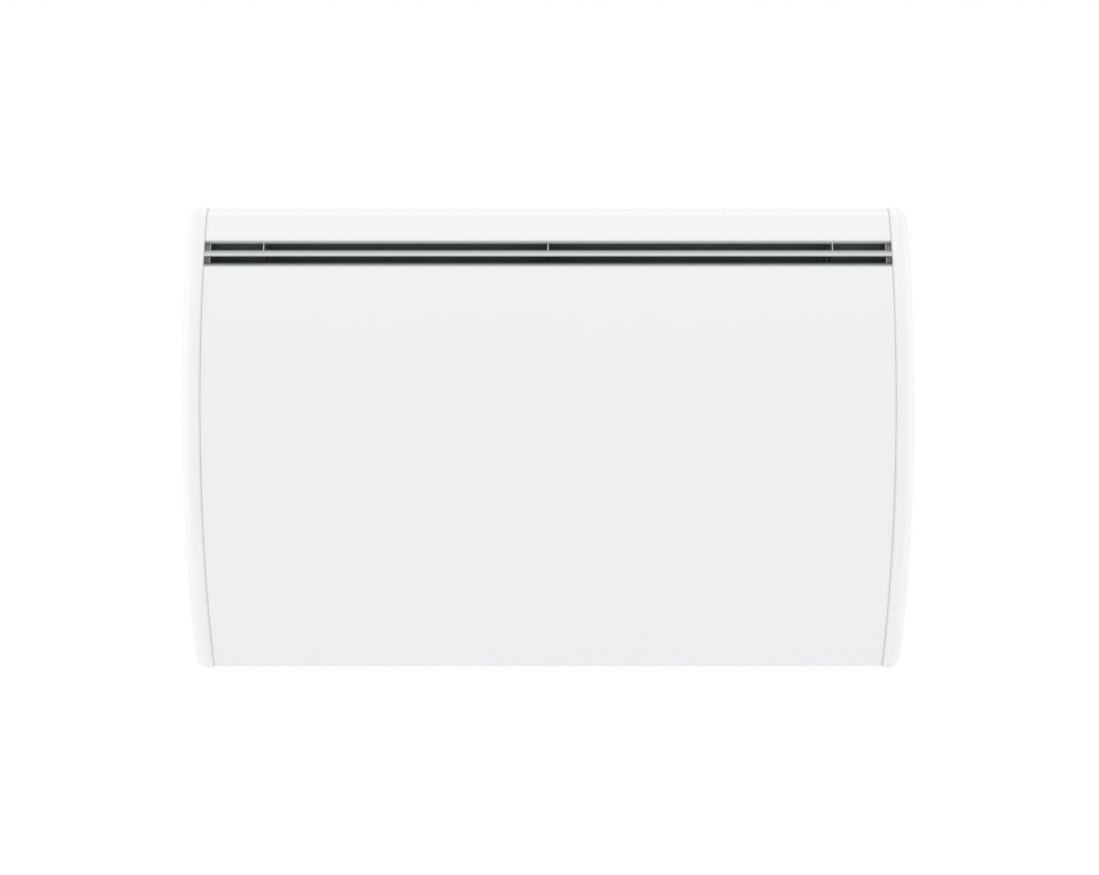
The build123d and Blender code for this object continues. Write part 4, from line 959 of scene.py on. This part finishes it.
class HEATER_OT_wall_bracket(HeaterOperator):
    """Powder-coated wall bracket, zinc-plated latches, and the rubber spacers and grommet"""

    bl_idname = "heater.wall_bracket"
    bl_label = "Wall bracket"

    # A wall screw's hole (x, z) and its washer's ring, in metres.
    wall_hole = (0.150, 0.080)
    washer_ring = (0.0030, 0.0036, 0.0062, 0.0070)

    # The spacers, in millimetres.
    spacer_places = ((-230.0, 0.0, -185.0), (230.0, 0.0, -185.0))
    spacer_neck = ((9.0, -19.0), (3.0, -19.0), (3.0, -19.8))
    spacer_button = ((4.2, -19.8), (4.2, -20.9), (3.1, -22.0), (0.0, -22.0))

    def execute(self, context):
        colours = context.scene.heater_colours
        textures = context.scene.heater_textures
        coat = Finish("powder_coat")
        ripple = coat.noise(textures.powder_ripple)
        fleck = coat.noise(textures.powder_ripple / 4, detail=1.0).ramp(0.62, 0.70)
        drift = coat.noise(0.05)
        seat = self.washer_marks(coat)
        scuff = coat.noise(0.0016, detail=3.0, stretch=(1, 1, 0.12)).ramp(0.63, 0.72)
        base = coat.tint(drift, shade(colours.bracket, 0.95), shade(colours.bracket, 1.05))
        speckled = coat.tint(fleck * 0.25, base, shade(colours.bracket, 1.35))
        coat.dress(
            ["wall_bracket"],
            Base_Color=coat.tint(seat * (0.35 + 0.3 * scuff), speckled, shade(colours.bracket, 0.6)),
            Roughness=0.42 + 0.10 * ripple - 0.12 * seat,
            Normal=coat.relief(ripple, 0.00003, 0.6),
        )
        rubber = Finish("moulded_rubber")
        bloom = rubber.noise(0.006, detail=4.0, rough=0.7)
        rubber.dress(
            ["cord_grommet"],
            [self.ribbed_spacers()],
            Base_Color=rubber.tint(bloom, colours.rubber, shade(colours.rubber, 1.9)),
            Roughness=0.68 + 0.16 * bloom,
            Normal=rubber.relief(rubber.noise(0.0008), 0.00003, 0.5),
        )
        zinc_plate().dress(["left_latch", "right_latch"])
        return {"FINISHED"}

    def ribbed_spacers(self):
        """The two rubber feet, turned about Y: a dished sole, ribs, a neck and a button in the panel.

        Between 1.5 and 17.5 mm from the wall the radius is 9 - 0.8 * sin(pi * share * 4) ** 2, with
        share from 0 to 1, and the sole sinks by 1.2 mm * (1 - smoothstep(2.5, 5, radius)).
        """
        across = np.linspace(0.0, 8.0, 9)
        sole = np.stack([across, -1.2 * (1 - smoothstep(2.5, 5.0, across))], axis=-1)
        share = np.linspace(0.0, 1.0, 49)
        ribs = np.stack([9.0 - 0.8 * np.sin(np.pi * share * 4) ** 2, -1.5 - 16.0 * share], axis=-1)
        profile = [sole, [(9.0, -1.0)], ribs, self.spacer_neck, self.spacer_button]
        profile = np.concatenate(profile) * MM
        feet = [turned(profile, 64) + np.array(place) * MM for place in self.spacer_places]
        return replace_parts(piece_from("ribbed_spacers", feet, "heater"), "wall_spacers")

    def washer_marks(self, coat):
        """1 on the ring that a washer has pressed round a wall screw's hole, and 0 elsewhere."""
        sideways = abs(coat.axis("X")) - self.wall_hole[0]
        upwards = abs(coat.axis("Z")) - self.wall_hole[1]
        return distance(sideways, upwards).band(*self.washer_ring)


class HEATER_OT_screws(HeaterOperator):
    """Pan-head screws with cross recesses in place of the plain ones on the back"""

    bl_idname = "heater.screws"
    bl_label = "Screws"

    # Each kind's seat in Y and the (x, z) of its screws, in millimetres.
    places = {
        "cap_screws": (-19.0, [(side * 325.5, z) for side in (-1, 1) for z in (-160.0, 0.0, 160.0)]),
        "chassis_screws": (-19.0, [(side * 304.2, z) for side in (-1, 1) for z in (-150.0, 0.0, 150.0)]),
        "casing_screws": (-18.0, [(x, 207.5) for x in (-230.0, 0.0, 230.0)]),
    }

    def execute(self, context):
        fittings = context.scene.heater_fittings
        made = []
        for node, (seat, places) in self.places.items():
            screws = [pan_head_screw(fittings, np.array([x, seat, z]) * MM) for x, z in places]
            piece = piece_from("recessed_" + node, screws, "heater")
            made.append(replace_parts(piece, node))
        zinc_plate().dress(pieces=made)
        return {"FINISHED"}


class HEATER_OT_stage(HeaterOperator):
    """Pale floor and room, soft lights all round, and the camera straight in front"""

    bl_idname = "heater.stage"
    bl_label = "Stage"

    # Each light's place, width and height in metres. Its power is the stage's value of the same name.
    lights = {
        "front_light": ((0.0, -3.8, -1.5), 4.0, 3.0),
        "top_light": ((0.0, -0.5, 1.9), 2.4, 1.2),
        "low_light": ((0.0, -1.5, -1.4), 2.4, 0.8),
        "left_light": ((-2.0, -0.2, 0.1), 1.4, 1.8),
        "right_light": ((2.0, -0.2, 0.1), 1.4, 1.8),
    }

    def execute(self, context):
        stage = context.scene.heater_stage
        self.floor(stage)
        self.room_light(context, stage)
        for name, (place, width, height) in self.lights.items():
            self.softbox(context, name, place, width, height, getattr(stage, name))
        self.camera(context, stage)
        return {"FINISHED"}

    def floor(self, stage):
        """A round floor: radius times (cos a, sin a) in rings, fading into the room at its edge."""
        turns = np.linspace(0.0, 2 * np.pi, 96, endpoint=False)
        radii = np.linspace(0.0, stage.floor_radius, 12)
        circle = np.stack([np.cos(turns), np.sin(turns), np.zeros(96)], axis=-1)
        points = radii[:, None, None] * circle - np.array([0.0, 0.0, stage.floor_drop])
        floor = object_from("floor", [points])
        matt = Finish("matt_floor", Roughness=0.9)
        span = distance(matt.axis("X"), matt.axis("Y"))
        tone = matt.noise(0.35)
        matt.dress(
            pieces=[floor],
            Base_Color=matt.tint(tone, shade(stage.floor_tone, 0.99), shade(stage.floor_tone, 1.01)),
            Alpha=1.0 - span.ramp(0.45 * stage.floor_radius, 0.98 * stage.floor_radius),
        )

    def room_light(self, context, stage):
        """White paper behind the heater that turns into a pale room towards the sides and front."""
        world = bpy.data.worlds.new("room")
        world.use_nodes = True
        air = Shading(world.node_tree)
        split = air.node("ShaderNodeSeparateXYZ")
        air.join(split.inputs["Vector"], air.node("ShaderNodeTexCoord").outputs["Generated"])
        behind = Value(air, split.outputs["Y"]).ramp(0.15, 0.75)
        glow = air.tree.nodes["Background"]
        air.join(glow.inputs["Color"], air.tint(behind, stage.room, stage.backdrop))
        context.scene.world = world
        context.scene.view_settings.view_transform = "Standard"

    def softbox(self, context, name, place, width, height, power):
        """A soft rectangular light that faces the heater's middle."""
        light = bpy.data.lights.new(name, "AREA")
        light.shape = "RECTANGLE"
        light.size = width
        light.size_y = height
        light.energy = power
        lamp = bpy.data.objects.new(name, light)
        lamp.location = place
        lamp.rotation_euler = Vector(place).to_track_quat("Z", "Y").to_euler()
        context.scene.collection.objects.link(lamp)

    def camera(self, context, stage):
        """Level with the heater's middle, looking straight at the wall."""
        lens = bpy.data.cameras.new("photo_view")
        lens.sensor_width = 36.0
        lens.lens = stage.lens
        view = bpy.data.objects.new("photo_view", lens)
        view.location = (stage.camera_x, -stage.camera_out, stage.camera_up)
        view.rotation_euler = (math.radians(90.0), 0.0, 0.0)
        context.scene.collection.objects.link(view)
        context.scene.camera = view


OPERATORS = (
    HEATER_OT_stage,
    HEATER_OT_front_casing,
    HEATER_OT_end_caps,
    HEATER_OT_controls,
    HEATER_OT_sheet_metal,
    HEATER_OT_black_ducting,
    HEATER_OT_heating_element,
    HEATER_OT_electrical,
    HEATER_OT_wall_bracket,
    HEATER_OT_screws,
)


class HEATER_PT_panel(bpy.types.Panel):
    """Lists the heater's pieces and settings in the sidebar."""

    bl_label = "Heater"
    bl_space_type = "VIEW_3D"
    bl_region_type = "UI"
    bl_category = "Heater"

    def draw(self, context):
        for operator in OPERATORS:
            self.layout.operator(operator.bl_idname)
        for name, group in SETTINGS.items():
            box = self.layout.box()
            for key in group.__annotations__:
                box.prop(getattr(context.scene, name), key)


def register():
    """Registers the settings, operators and panel."""
    for name, group in SETTINGS.items():
        bpy.utils.register_class(group)
        setattr(bpy.types.Scene, name, PointerProperty(type=group))
    for cls in (*OPERATORS, HEATER_PT_panel):
        bpy.utils.register_class(cls)


def unregister():
    """Removes the panel, operators and settings."""
    for cls in (HEATER_PT_panel, *reversed(OPERATORS)):
        bpy.utils.unregister_class(cls)
    for name, group in SETTINGS.items():
        delattr(bpy.types.Scene, name)
        bpy.utils.unregister_class(group)


def main():
    """Makes every piece in order."""
    register()
    for operator in OPERATORS:
        group, name = operator.bl_idname.split(".")
        getattr(getattr(bpy.ops, group), name)()


if __name__ == "__main__":
    main()
